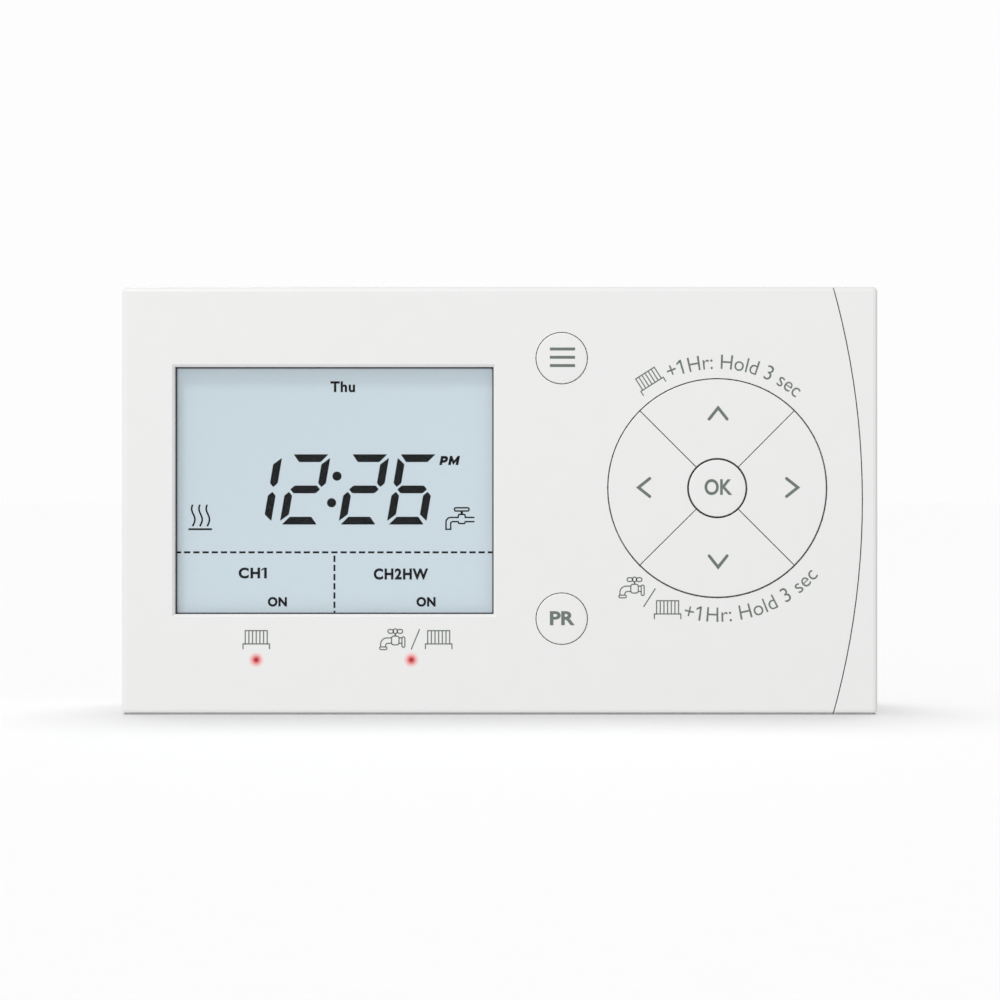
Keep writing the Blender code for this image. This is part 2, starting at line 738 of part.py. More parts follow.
def cell_and_holder(materials):
    """A coin cell keeps the clock running, in an open ring behind the board."""
    x, z = -54.0 * MM, 22.0 * MM
    cell_radius = 10.0 * MM
    cell_y = (BEHIND_BOARD + 1.3 * MM, BEHIND_BOARD + 4.5 * MM)
    holder = rod("cell_holder", (x, 0, z), cell_radius + 1.5 * MM, (BEHIND_BOARD, cell_y[1]), 32)
    room = (BEHIND_BOARD + 1.0 * MM, cell_y[1] + OVER)
    cut(holder, rod("cell_room", (x, 0, z), cell_radius + GAP, room, 32))
    notch_x = (x, x + 2 * cell_radius)
    cut(holder, block("notch", notch_x, room, around(z, 4.0 * MM)))
    cell = rod("backup_cell", (x, 0, z), cell_radius, cell_y, 32)
    finish(holder, materials["black_plastic"], smooth=True)
    finish(cell, materials["steel"], smooth=True)
    return [holder, cell]


def terminal_places():
    middle = (TERMINALS - 1) / 2
    return [(number - middle) * PITCH for number in range(TERMINALS)]


def contact_blades(materials):
    """Blades on the board that reach through the case into the terminal block."""
    places = terminal_places()
    first = block(
        "contact_blade_1", around(places[0], BLADE_HALF_THICKNESS),
        (BEHIND_BOARD, BLADE_TIP), BLADE_Z,
    )
    set_origin(first, (places[0], BEHIND_BOARD, sum(BLADE_Z) / 2))
    made = [finish(first, materials["tinned_brass"])]
    for number, x in enumerate(places[1:], 2):
        made.append(repeated(first, f"contact_blade_{number}", (x - places[0], 0, 0)))
    return made


# Screws


def slotted_screw(name, head_radius, head, shank_radius, shank_end, slot, sides):
    """A screw whose head faces -Y, about the origin. Its shank runs to shank_end."""
    profile = [
        (0.0, head[0]),
        (head_radius - 0.3 * MM, head[0]),
        (head_radius, head[0] + 0.3 * MM),
        (head_radius, head[1]),
        (shank_radius, head[1]),
        (shank_radius, shank_end),
        (0.0, shank_end),
    ]
    screw = turned(name, (0, 0, 0), profile, sides)
    depth = (head[0] - OVER, head[0] + slot[1])
    return cut(screw, block("slot", around(0, head_radius + OVER), depth, around(0, slot[0] / 2)))


def captive_screws(materials):
    """Thumb-size screws in the underside, each held in its boss by a collar."""
    profile = [
        (0.0, -45.0 * MM),
        (2.5 * MM, -45.0 * MM),
        (2.8 * MM, -44.7 * MM),
        (2.8 * MM, HEAD_SEAT - GAP),
        (1.5 * MM, HEAD_SEAT - GAP),
        (1.5 * MM, BOSS_TOP + GAP),
        (2.3 * MM, BOSS_TOP + GAP),
        (2.3 * MM, BOSS_TOP + GAP + 0.8 * MM),
        (1.5 * MM, BOSS_TOP + GAP + 0.8 * MM),
        (1.5 * MM, POCKET_TOP - 1.0 * MM),
        (1.0 * MM, POCKET_TOP - 0.5 * MM),
        (0.0, POCKET_TOP - 0.5 * MM),
    ]
    left = turned("captive_screw_left", (-CAPTIVE_X, CAPTIVE_Y, 0), profile, 20, "Z")
    slot_y = around(CAPTIVE_Y, 3.5 * MM)
    slot_z = (-TOP - OVER, -44.0 * MM)
    cut(left, block("slot", around(-CAPTIVE_X, 0.4 * MM), slot_y, slot_z))
    set_origin(left, (-CAPTIVE_X, CAPTIVE_Y, -TOP))
    finish(left, materials["steel"], smooth=True)
    return [left, repeated(left, "captive_screw_right", (2 * CAPTIVE_X, 0, 0))]


# Wall side


def wall_plate(materials):
    plate = rounded_block(
        "wall_plate", around(0, PLATE_RIGHT), PLATE, around(0, PLATE_TOP), PLATE_CORNER
    )
    through = (PLATE[0] - OVER, PLATE[1] + OVER)
    hole = rounded_block("cable_hole", around(0, CABLE_HOLE_X), through, CABLE_HOLE_Z, 2.0 * MM)
    cut(plate, hole)
    for side in (-1, 1):
        cut(plate, rounded_slot(side * FIXING_X, 0, SLOT_RADIUS, SLOT_LENGTH, through))
        upright = rounded_slot(
            side * SIDE_FIXING_X, SIDE_FIXING_Z, SLOT_RADIUS, SLOT_LENGTH, through, upright=True
        )
        cut(plate, upright)
        add_hook(plate, side * HOOK_X)
        add_flange(plate, side * CAPTIVE_X)
    return finish(plate, materials["plate_plastic"])


def add_hook(plate, x):
    """An upturned lug that the module's bar hangs in."""
    arm_top = HINGE_Z - BAR_RADIUS - GAP
    tip_back = HINGE_Y - BAR_RADIUS - GAP
    tip = (tip_back - 1.5 * MM, tip_back)
    span = around(x, HOOK_HALF_WIDTH)
    join(
        plate,
        block("arm", span, (tip[0], PLATE[1] - 0.4 * MM), (arm_top - 1.7 * MM, arm_top)),
        block("tip", span, tip, (arm_top - OVER, HINGE_Z + GAP)),
    )


def add_flange(plate, x):
    """A notched flange that a captive screw clamps up against."""
    root = PLATE[0] + 0.5 * PLATE_THICKNESS
    join(plate, block("flange", around(x, FLANGE_HALF_WIDTH), (FLANGE_FRONT, root), FLANGE_Z))
    notch_z = grown(FLANGE_Z, OVER)
    half = 1.5 * MM + GAP
    cut(
        plate,
        block("notch", around(x, half), (FLANGE_FRONT - OVER, CAPTIVE_Y), notch_z),
        rod("notch_end", (x, CAPTIVE_Y, 0), half, notch_z, 24, "Z"),
    )


def terminal_block(materials):
    half = TERMINALS * PITCH / 2 + BLOCK_END_WALL
    body = block("terminal_block", around(0, half), (BLOCK_FRONT, ON_PLATE), BLOCK_Z)
    for x in terminal_places():
        strip_room = (STRIP[0] - 0.4 * MM, STRIP[1] + 0.4 * MM)
        head_room = (BLOCK_FRONT - OVER, BLOCK_FRONT + 2.4 * MM)
        entry_y = (-8.5 * MM, -4.7 * MM)
        entry_z = (BLOCK_Z[0] - OVER, 24.5 * MM)
        blade_z = (BLADE_Z[0] - 0.4 * MM, BLADE_Z[1] + 2.1 * MM)
        place = (x, 0, TERMINAL_SCREW_Z)
        cut(
            body,
            block("strip_room", around(x, 2.6 * MM), strip_room, (18.6 * MM, 33.4 * MM)),
            block("wire_entry", around(x, 1.9 * MM), entry_y, entry_z),
            rod("head_bore", place, 3.0 * MM, head_room, 16),
            rod("shank_bore", place, 1.9 * MM, (head_room[0], strip_room[1]), 16),
            block("blade_slot", around(x, 1.2 * MM), (head_room[0], strip_room[1]), blade_z),
        )
    return finish(body, materials["terminal_plastic"])


def terminal_pieces(materials):
    """A brass strip and a clamping screw at each terminal."""
    places = terminal_places()
    strip = block("terminal_clamp_1", around(places[0], 2.2 * MM), STRIP, (19.0 * MM, 33.0 * MM))
    hole = (STRIP[0] - OVER, STRIP[1] + OVER)
    cut(strip, rod("hole", (places[0], 0, TERMINAL_SCREW_Z), 1.8 * MM, hole, 16))
    set_origin(strip, (places[0], STRIP[0], TERMINAL_SCREW_Z))
    finish(strip, materials["brass"])
    head = (BLOCK_FRONT + 0.2 * MM, BLOCK_FRONT + 2.0 * MM)
    screw = slotted_screw(
        "terminal_screw_1", 2.6 * MM, head, 1.5 * MM, STRIP[1], (0.7 * MM, 0.9 * MM), 20
    )
    screw.location = (places[0], 0, TERMINAL_SCREW_Z)
    finish(screw, materials["steel"], smooth=True)
    made = [strip, screw]
    for number, x in enumerate(places[1:], 2):
        offset = (x - places[0], 0, 0)
        made.append(repeated(strip, f"terminal_clamp_{number}", offset))
        made.append(repeated(screw, f"terminal_screw_{number}", offset))
    return made


def earth_pieces(materials):
    """A brass pillar beside the block, where the earth wires are joined."""
    z = 26.0 * MM
    pillar_y = (-7.4 * MM, ON_PLATE)
    pillar = block("earth_terminal", around(EARTH_X, 3.5 * MM), pillar_y, around(z, 4.5 * MM))
    wire_hole = rod(
        "wire_hole", (EARTH_X, -4.6 * MM, 0), 1.5 * MM, (z - 5.5 * MM, z + 5.5 * MM), 16, "Z"
    )
    screw_hole = rod("screw_hole", (EARTH_X, 0, z), 1.8 * MM, (-8.4 * MM, -4.6 * MM), 16)
    cut(pillar, wire_hole, screw_hole)
    finish(pillar, materials["brass"])
    head = (-9.3 * MM, -7.7 * MM)
    screw = slotted_screw(
        "earth_screw", 2.6 * MM, head, 1.5 * MM, -5.4 * MM, (0.7 * MM, 0.9 * MM), 20
    )
    screw.location = (EARTH_X, 0, z)
    finish(screw, materials["steel"], smooth=True)
    return [pillar, screw]


def hang_on(parent, pieces):
    """Parent the pieces, which stay where they are."""
    for piece in pieces:
        piece.parent = parent
        piece.matrix_parent_inverse = Matrix.Translation(parent.location).inverted()


def main():
    clear_scene()
    materials = make_materials()
    hinge = bpy.data.objects.new("module_hinge", None)
    hinge.location = (0, HINGE_Y, HINGE_Z)
    bpy.context.scene.collection.objects.link(hinge)
    made_keys = keys(materials)
    shells = [rear_case(materials), front_cover(materials), end_cover(materials)]
    module = shells + display(materials) + status_lights(materials) + made_keys
    module += switches(made_keys, materials)
    module += board_pieces(materials)
    module += captive_screws(materials)
    hang_on(hinge, module)
    wall_plate(materials)
    terminal_block(materials)
    terminal_pieces(materials)
    earth_pieces(materials)


main()
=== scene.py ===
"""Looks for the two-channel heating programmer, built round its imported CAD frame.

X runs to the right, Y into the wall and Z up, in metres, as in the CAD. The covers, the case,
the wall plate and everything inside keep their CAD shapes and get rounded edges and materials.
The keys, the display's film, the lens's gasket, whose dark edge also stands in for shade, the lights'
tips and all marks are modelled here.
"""

import math

import bmesh
import bpy
from mathutils import Matrix, Vector


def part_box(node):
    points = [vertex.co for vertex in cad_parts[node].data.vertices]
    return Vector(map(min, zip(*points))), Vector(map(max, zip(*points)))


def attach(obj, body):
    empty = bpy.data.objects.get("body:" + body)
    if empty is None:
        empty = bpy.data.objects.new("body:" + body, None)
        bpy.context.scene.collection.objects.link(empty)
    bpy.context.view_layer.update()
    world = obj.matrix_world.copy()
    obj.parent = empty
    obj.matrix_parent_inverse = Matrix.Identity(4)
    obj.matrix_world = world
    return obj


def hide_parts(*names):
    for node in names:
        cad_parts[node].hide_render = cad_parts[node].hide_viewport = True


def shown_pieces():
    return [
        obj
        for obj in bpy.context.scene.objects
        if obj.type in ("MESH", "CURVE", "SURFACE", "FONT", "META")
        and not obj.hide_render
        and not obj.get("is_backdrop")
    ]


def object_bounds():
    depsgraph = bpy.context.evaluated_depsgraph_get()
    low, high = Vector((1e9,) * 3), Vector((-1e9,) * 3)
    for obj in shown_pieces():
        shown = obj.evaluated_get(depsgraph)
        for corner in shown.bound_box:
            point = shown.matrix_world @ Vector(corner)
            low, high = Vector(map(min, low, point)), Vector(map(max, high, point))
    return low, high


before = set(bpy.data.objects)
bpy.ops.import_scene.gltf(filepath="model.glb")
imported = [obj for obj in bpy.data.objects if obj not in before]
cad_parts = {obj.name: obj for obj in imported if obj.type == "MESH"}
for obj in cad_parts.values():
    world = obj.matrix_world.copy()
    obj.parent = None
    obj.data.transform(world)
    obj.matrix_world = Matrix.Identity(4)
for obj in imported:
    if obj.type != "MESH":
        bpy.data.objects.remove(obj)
cad_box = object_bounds()

MM = 0.001


def mm(*values):
    """Millimetres as metres."""
    return tuple(value * MM for value in values)


def middle(node):
    low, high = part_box(node)
    return (low + high) / 2


# Places taken from the frame.
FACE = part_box("front_cover")[0].y
KEY_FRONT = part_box("key_up")[0].y
GLASS_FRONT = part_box("lcd_panel")[0].y
FLOOR = cad_box[0].z
PAD = middle("ok_button")
MENU = middle("menu_button")
PROGRAM = middle("program_button")
LIGHTS = (middle("light_pipe_1"), middle("light_pipe_2"))

# Keys, with the clearances of the CAD. The trims, the fit and the lean set how wide
# the dark lines round the keys look.
ROUND_KEY_RADIUS = 5.3 * MM
CENTRE_KEY_RADIUS = 6.12 * MM
PAD_RADIUS = 23.05 * MM
PAD_TRIM = 0.07 * MM
PAD_LEAN = 0.04 * MM
CENTRE_TRIM = 0.12 * MM
KEY_FIT = 0.06 * MM
SEAM = 0.25 * MM
SECTOR_SEAM = 0.17 * MM
KEY_FLANGE = 1.25 * MM
FLANGE = mm(-28.9, -28.1)
CENTRE_FLANGE = mm(-27.2, -26.4)
KEY_CROWN = 0.05 * MM
KEY_ROUNDING = 0.22 * MM
SECTOR_ROUNDING = 0.16 * MM
STEM_RADIUS = 1.5 * MM
STEM_END = -23.7 * MM
STEM_ROUNDING = 0.3 * MM
STEM_OVERLAP = 0.2 * MM
SWITCH_OFFSET = 15.0 * MM
ROUNDING_STEPS = 5
TURNED_SIDES = 96
SMALL_SIDES = 32
SECTOR_STEPS = 40
SECTORS = ("key_right", "key_up", "key_left", "key_down")

# Display window of the front cover, the lens's gasket in it, whose dark showing edge also stands in for
# shade, and the painted shadow along the film's edge.
WINDOW_X = mm(-68.8, -1.3)
WINDOW_Z = mm(-24.1, 28.3)
WINDOW_WIDE = WINDOW_X[1] - WINDOW_X[0]
WINDOW_TALL = WINDOW_Z[1] - WINDOW_Z[0]
WINDOW_MIDDLE = (WINDOW_X[0] + WINDOW_WIDE / 2, WINDOW_Z[0] + WINDOW_TALL / 2)
# how much of the gasket shows; its dark edge stands in for the shade inside the window's edge
GASKET_SHADE_SHOWN = 0.3 * MM
GASKET_HIDDEN = 1.5 * MM
GASKET_GAP = 0.05 * MM
GASKET_THICKNESS = 0.2 * MM
# Where the painted shadow along the film's edge sits, how far it fades and how dark it is.
EDGE_SHADOW_SHIFT = 0.1 * MM
EDGE_SHADOW_FADE = mm(-0.3, 0.5)
EDGE_PAINTED_SHADE = 0.45

# Thickness of the ink, the film and the marks on it, and width of a printed line.
INK = 0.03 * MM
KEY_CAP = KEY_FRONT + INK
STROKE = 0.24 * MM
FILM = 0.12 * MM
FILM_MARGINS = 0.6 * MM
FILM_CORNER = 0.4 * MM
FILM_ROUNDING = 0.05 * MM
MARK = 0.04 * MM
FILM_FRONT = GLASS_FRONT - FILM
MARK_FRONT = FILM_FRONT - MARK

# What marks lie on: their front, their thickness, the body, the slot and the material.
ON_COVER = (FACE - INK, 2 * INK, "module", "case_plastic", "print_ink")
ON_DISPLAY = (MARK_FRONT, MARK, "module", "display_glass", "segment_ink")

# Digits of the display. Each has its left edge and its lit bars.
DIGIT_WIDTH = 8.4 * MM
DIGIT_HEIGHT = 14.95 * MM
DIGIT_BAR = 1.65 * MM
DIGIT_GAP = 0.5 * MM
DIGIT_INSET = 1.03 * MM
DIGIT_CORNER = 0.2 * MM
DIGIT_SLANT = 0.17
DIGIT_BASE = -5.12 * MM
DIGITS = (
    (-57.19 * MM, "bc"),
    (-46.92 * MM, "abged"),
    (-34.40 * MM, "abged"),
    (-24.13 * MM, "afgedc"),
)
COLON = (mm(-34.67, 5.18), mm(-35.82, -0.49))
COLON_RADIUS = 0.98 * MM


# Materials


def shader_of(name):
    material = bpy.data.materials.new(name)
    material.use_nodes = True
    nodes = material.node_tree.nodes
    return material, nodes, material.node_tree.links, nodes["Principled BSDF"]


def give(links, socket, value):
    """Sets a socket to a number, a vector or a colour, or links another node's output to it."""
    if isinstance(value, bpy.types.NodeSocket):
        links.new(value, socket)
    elif socket.type == "RGBA":
        socket.default_value = (*value, 1.0)
    else:
        socket.default_value = value


def computed(nodes, links, kind, operation, *values):
    """The outputs of a Math or Vector Math node that works on values."""
    node = nodes.new(f"ShaderNode{kind}")
    node.operation = operation
    for socket, value in zip(node.inputs, values):
        give(links, socket, value)
    return node.outputs


def ramp(nodes, links, source, span, result=(0.0, 1.0), interpolation="LINEAR"):
    """Turns a value that runs over span into one that runs over result and stays in it."""
    node = nodes.new("ShaderNodeMapRange")
    node.interpolation_type = interpolation
    for name, value in zip(("From Min", "From Max", "To Min", "To Max"), (*span, *result)):
        give(links, node.inputs[name], value)
    links.new(source, node.inputs["Value"])
    return node.outputs["Result"]


def mixed(nodes, links, factor, first, second):
    """A colour between two others, where each is a colour or another node's output."""
    mix = nodes.new("ShaderNodeMix")
    mix.data_type = "RGBA"
    for index, value in ((0, factor), (6, first), (7, second)):
        give(links, mix.inputs[index], value)
    return mix.outputs[2]


def noise(nodes, links, scale, detail=2.0, stretch=(1.0, 1.0, 1.0)):
    """A noise texture on the object's own coordinates, so it stays on the piece as it moves."""
    place = nodes.new("ShaderNodeTexCoord")
    spread = nodes.new("ShaderNodeMapping")
    spread.inputs["Scale"].default_value = stretch
    texture = nodes.new("ShaderNodeTexNoise")
    texture.inputs["Scale"].default_value = scale
    texture.inputs["Detail"].default_value = detail
    links.new(place.outputs["Object"], spread.inputs["Vector"])
    links.new(spread.outputs["Vector"], texture.inputs["Vector"])
    return texture.outputs["Fac"]


def spread_between(nodes, links, source, low, high):
    """Turns a noise value, which is mostly within 0.3 to 0.7, into a number from low to high."""
    return ramp(nodes, links, source, (0.3, 0.7), (low, high))


def shade(colour, amount):
    return tuple(min(1.0, channel * amount) for channel in colour)


def add_bump(nodes, links, shader, height, strength, distance):
    bump = nodes.new("ShaderNodeBump")
    bump.inputs["Strength"].default_value = strength
    bump.inputs["Distance"].default_value = distance
    links.new(height, bump.inputs["Height"])
    links.new(bump.outputs["Normal"], shader.inputs["Normal"])


def show_blend(nodes, links, factor, first, second):
    """Makes the surface a blend of two shaders, all the second where factor is 1."""
    blend = nodes.new("ShaderNodeMixShader")
    for socket, source in zip(blend.inputs, (factor, first, second)):
        links.new(source, socket)
    links.new(blend.outputs["Shader"], nodes["Material Output"].inputs["Surface"])


def moulded(name, colour, roughness, grain=2600.0, depth=0.08, mottle=0.006):
    """Moulded or painted material: fine grain, slightly uneven gloss and a faint mottle."""
    material, nodes, links, shader = shader_of(name)
    cloudy = spread_between(nodes, links, noise(nodes, links, 160.0, 4.0), 0.0, 1.0)
    dark, light = shade(colour, 1 - mottle), shade(colour, 1 + mottle)
    links.new(mixed(nodes, links, cloudy, dark, light), shader.inputs["Base Color"])
    uneven = noise(nodes, links, 420.0, 4.0)
    gloss = spread_between(nodes, links, uneven, roughness - 0.05, roughness + 0.05)
    links.new(gloss, shader.inputs["Roughness"])
    add_bump(nodes, links, shader, noise(nodes, links, grain, 3.0), depth, 0.05 * MM)
    return material


def brushed(name, colour, roughness, stretch=(1.0, 1.0, 14.0)):
    """Metal with fine drawn lines."""
    material, nodes, links, shader = shader_of(name)
    shader.inputs["Metallic"].default_value = 1.0
    stain = spread_between(nodes, links, noise(nodes, links, 180.0, 3.0), 0.0, 1.0)
    colours = mixed(nodes, links, stain, shade(colour, 0.88), colour)
    links.new(colours, shader.inputs["Base Color"])
    lines = noise(nodes, links, 900.0, 4.0, stretch)
    gloss = spread_between(nodes, links, lines, roughness - 0.08, roughness + 0.1)
    links.new(gloss, shader.inputs["Roughness"])
    add_bump(nodes, links, shader, lines, 0.15, 0.03 * MM)
    return material


def add_glow(material, centres, colour, inner, outer):
    """Paints a tint into a surface's colour round points on it: on the cover this is a painted glow of
    the status lights, on a lamp tip its deeper middle.
    """
    nodes, links = material.node_tree.nodes, material.node_tree.links
    base = nodes["Principled BSDF"].inputs["Base Color"]
    place = nodes.new("ShaderNodeTexCoord").outputs["Object"]
    for centre in centres:
        point = (centre.x, FACE, centre.z)
        away = computed(nodes, links, "VectorMath", "DISTANCE", place, point)["Value"]
        near = ramp(nodes, links, away, (outer, inner))
        links.new(mixed(nodes, links, near, base.links[0].from_socket, colour), base)


def light_up(material, core, strength):
    """Makes a lamp's tip glow, with its own deeper colour in the middle."""
    add_glow(material, LIGHTS, core, *LAMP_CORE_REACH)
    shader = material.node_tree.nodes["Principled BSDF"]
    red = shader.inputs["Base Color"].links[0].from_socket
    material.node_tree.links.new(red, shader.inputs["Emission Color"])
    shader.inputs["Emission Strength"].default_value = strength


def matt(material):
    """Makes a material mirror very little."""
    material.node_tree.nodes["Principled BSDF"].inputs["Specular IOR Level"].default_value = 0.1
    return material


def clear(name, tint, gloss, head_on=0.008):
    """Clear plastic: what is behind shows through, and it mirrors more at a glancing angle."""
    material, nodes, links, shader = shader_of(name)
    nodes.remove(shader)
    mirror = nodes.new("ShaderNodeBsdfGlossy")
    mirror.inputs["Color"].default_value = (1.0, 1.0, 1.0, 1.0)
    uneven = spread_between(nodes, links, noise(nodes, links, 300.0), gloss, gloss + 0.04)
    links.new(uneven, mirror.inputs["Roughness"])
    passing = nodes.new("ShaderNodeBsdfTransparent")
    passing.inputs["Color"].default_value = (*tint, 1.0)
    glancing = nodes.new("ShaderNodeLayerWeight")
    glancing.inputs["Blend"].default_value = 0.5
    steep = computed(nodes, links, "Math", "POWER", glancing.outputs["Facing"], 5.0)["Value"]
    share = ramp(nodes, links, steep, (0.0, 1.0), (head_on, 1.0))
    show_blend(nodes, links, share, passing.outputs["BSDF"], mirror.outputs["BSDF"])
    return material


def painted_window_edge_shadow(nodes, links, place):
    """The mask of the painted shadow along the window's edge on the film: 1 at the edge and 0 a little
    way in, set slightly to the right and down so that it is deeper on the left and top.
    """
    shifted = (WINDOW_MIDDLE[0] + EDGE_SHADOW_SHIFT, 0.0, WINDOW_MIDDLE[1] - EDGE_SHADOW_SHIFT)
    half = (WINDOW_WIDE / 2, 1.0, WINDOW_TALL / 2)
    away = computed(nodes, links, "VectorMath", "SUBTRACT", place, shifted)["Vector"]
    size = computed(nodes, links, "VectorMath", "ABSOLUTE", away)["Vector"]
    inside = computed(nodes, links, "VectorMath", "SUBTRACT", half, size)["Vector"]
    split = nodes.new("ShaderNodeSeparateXYZ")
    links.new(inside, split.inputs["Vector"])
    sides = (split.outputs["X"], split.outputs["Z"])
    nearest = computed(nodes, links, "Math", "MINIMUM", *sides)["Value"]
    return ramp(nodes, links, nearest, EDGE_SHADOW_FADE, (1.0, 0.0), "SMOOTHSTEP")


def display_film(name, colour, shaded):
    """The display's film: finely grained, with painted shade that darkens it to the upper left and a
    painted shadow along the window's edge, and lit from behind.

    It glows more than it reflects.
    """
    material, nodes, links, shader = shader_of(name)
    place = nodes.new("ShaderNodeTexCoord").outputs["Object"]
    across = computed(nodes, links, "VectorMath", "DOT_PRODUCT", place, (-0.6, 0.0, 0.8))["Value"]
    # painted shade: the film's colour turns to a shaded copy towards the upper left
    base = mixed(nodes, links, ramp(nodes, links, across, mm(10, 70)), colour, shaded)
    grain = spread_between(nodes, links, noise(nodes, links, 3500.0, 2.0), 0.0, 0.12)
    grained = mixed(nodes, links, grain, base, shade(colour, 0.93))
    # painted shadow of the window's edge on the film, deeper on the left and top
    edge = painted_window_edge_shadow(nodes, links, place)
    film = mixed(nodes, links, edge, grained, shade(colour, EDGE_PAINTED_SHADE))
    reflecting = mixed(nodes, links, FILM_DARKER, film, (0.0, 0.0, 0.0))
    links.new(reflecting, shader.inputs["Base Color"])
    links.new(film, shader.inputs["Emission Color"])
    shader.inputs["Emission Strength"].default_value = BACKLIGHT
    gloss = spread_between(nodes, links, noise(nodes, links, 500.0), 0.32, 0.42)
    links.new(gloss, shader.inputs["Roughness"])
    return material


def circuit_board(name):
    """Green solder mask with paler tracks under it."""
    material, nodes, links, shader = shader_of(name)
    place = nodes.new("ShaderNodeTexCoord")
    turned = nodes.new("ShaderNodeMapping")
    turned.inputs["Rotation"].default_value = (math.pi / 2, 0.0, 0.0)
    links.new(place.outputs["Object"], turned.inputs["Vector"])
    tracks = nodes.new("ShaderNodeTexBrick")
    tracks.inputs["Scale"].default_value = 90.0
    tracks.inputs["Mortar Size"].default_value = 0.06
    tracks.inputs["Color1"].default_value = (0.012, 0.11, 0.045, 1.0)
    tracks.inputs["Color2"].default_value = (0.015, 0.13, 0.055, 1.0)
    tracks.inputs["Mortar"].default_value = (0.05, 0.24, 0.11, 1.0)
    links.new(turned.outputs["Vector"], tracks.inputs["Vector"])
    cloudy = spread_between(nodes, links, noise(nodes, links, 260.0), 0.0, 0.2)
    mask = mixed(nodes, links, cloudy, tracks.outputs["Color"], (0.01, 0.07, 0.03))
    links.new(mask, shader.inputs["Base Color"])
    gloss = spread_between(nodes, links, noise(nodes, links, 700.0), 0.32, 0.45)
    links.new(gloss, shader.inputs["Roughness"])
    add_bump(nodes, links, shader, tracks.outputs["Fac"], 0.3, 0.05 * MM)
    return material


WHITE = (0.80, 0.80, 0.795)
FILM_COLOUR = (0.398, 0.449, 0.482)
# the film's colour in its painted shade at the upper left
FILM_PAINTED_SHADE = (0.378, 0.429, 0.462)
FILM_DARKER = 0.3
BACKLIGHT = 0.82
# colour and reach of the glow painted round the status lights on the cover
PAINTED_HALO = (0.9, 0.17, 0.18)
PAINTED_HALO_REACH = mm(0.45, 1.68)
LAMP_CORE = (0.28, 0.008, 0.014)
LAMP_CORE_REACH = mm(0.3, 0.64)
LAMP_GLOW = 0.3

# Colour and roughness, and where they differ from the usual, grain, its depth and mottle.
MOULDED = {
    "case_plastic": (WHITE, 0.42),
    "key_plastic": (WHITE, 0.38, 3000.0, 0.06),
    "plate_plastic": ((0.70, 0.70, 0.68), 0.5),
    "display_glass": ((0.45, 0.54, 0.58), 0.12, 800.0, 0.01),
    "diffuser": ((0.75, 0.80, 0.82), 0.35, 1500.0, 0.1),
    "frame_plastic": ((0.22, 0.22, 0.23), 0.5),
    "rubber_strip": ((0.06, 0.06, 0.07), 0.8, 1800.0, 0.2),
    "black_plastic": ((0.022, 0.022, 0.024), 0.42),
    "relay_plastic": ((0.03, 0.07, 0.2), 0.38),
    "capacitor_plastic": ((0.7, 0.55, 0.05), 0.38),
    "varistor_coat": ((0.02, 0.15, 0.45), 0.45, 1200.0, 0.2),
    "red_light": ((0.64, 0.175, 0.185), 0.25, 1500.0, 0.02),
    "terminal_plastic": ((0.55, 0.55, 0.52), 0.5),
    "print_ink": ((0.135, 0.165, 0.148), 0.5, 4000.0, 0.1, 0.06),
    "segment_ink": ((0.003, 0.004, 0.005), 0.45, 4000.0, 0.02, 0.03),
}
# Colour and roughness, and where it differs from the usual, the stretch of the lines.
METALS = {
    "can_aluminium": ((0.6, 0.6, 0.62), 0.3),
    "brass": ((0.66, 0.47, 0.16), 0.3),
    "tinned_brass": ((0.62, 0.6, 0.55), 0.32),
    "steel": ((0.52, 0.52, 0.53), 0.3, (1.0, 6.0, 1.0)),
}
materials = {name: moulded(name, *values) for name, values in MOULDED.items()}
materials |= {name: brushed(name, *values) for name, values in METALS.items()}
materials["clear_plastic"] = clear("clear_plastic", (0.985, 0.995, 1.0), 0.03)
materials["display_film"] = display_film("display_film", FILM_COLOUR, FILM_PAINTED_SHADE)
materials["board"] = circuit_board("board")
# painted glow: the cover's colour turns pink round the status lights, where their light would fall
add_glow(materials["case_plastic"], LIGHTS, PAINTED_HALO, *PAINTED_HALO_REACH)
light_up(materials["red_light"], LAMP_CORE, LAMP_GLOW)
matt(materials["segment_ink"])


# Mesh tools


def ring_edges(bm, ring):
    return [bm.edges.get((ring[here - 1], ring[here])) for here in range(len(ring))]


def lofted(bm, rings):
    """Joins rings of points, each with the same count, and fills the first and last."""
    made = [[bm.verts.new(point) for point in ring] for ring in rings]
    for first, second in zip(made, made[1:]):
        for here in range(len(first)):
            bm.faces.new((first[here - 1], first[here], second[here], second[here - 1]))
    for ring in (made[0], made[-1]):
        edges = ring_edges(bm, ring)
        bmesh.ops.triangle_fill(bm, edges=edges, use_beauty=True, use_dissolve=False)
    return bm


def circle(centre, radius, y, sides=TURNED_SIDES):
    steps = [2 * math.pi * side / sides for side in range(sides)]
    return [(centre.x + radius * math.cos(a), y, centre.z + radius * math.sin(a)) for a in steps]


def inset(outline, amount):
    """Moves each side of a counter-clockwise outline of (x, z) points inwards."""
    moved_in = []
    for index, point in enumerate(outline):
        before = Vector(outline[index - 1])
        here = Vector(point)
        after = Vector(outline[(index + 1) % len(outline)])
        into = (here - before).normalized()
        out_of = (after - here).normalized()
        normal = Vector((-into.y, into.x)) + Vector((-out_of.y, out_of.x))
        normal = normal / max(1e-9, 1 + into.dot(out_of))
        moved_in.append(tuple(here + normal * amount))
    return moved_in


def at_depth(outline, y):
    return [(x, y, z) for x, z in outline]


def rounding(size):
    """Pairs of inset and depth along a quarter of a round edge, from its side to its front."""
    angles = [0.5 * math.pi * step / ROUNDING_STEPS for step in range(ROUNDING_STEPS + 1)]
    return [(size * (1 - math.cos(a)), size * (1 - math.sin(a))) for a in angles]


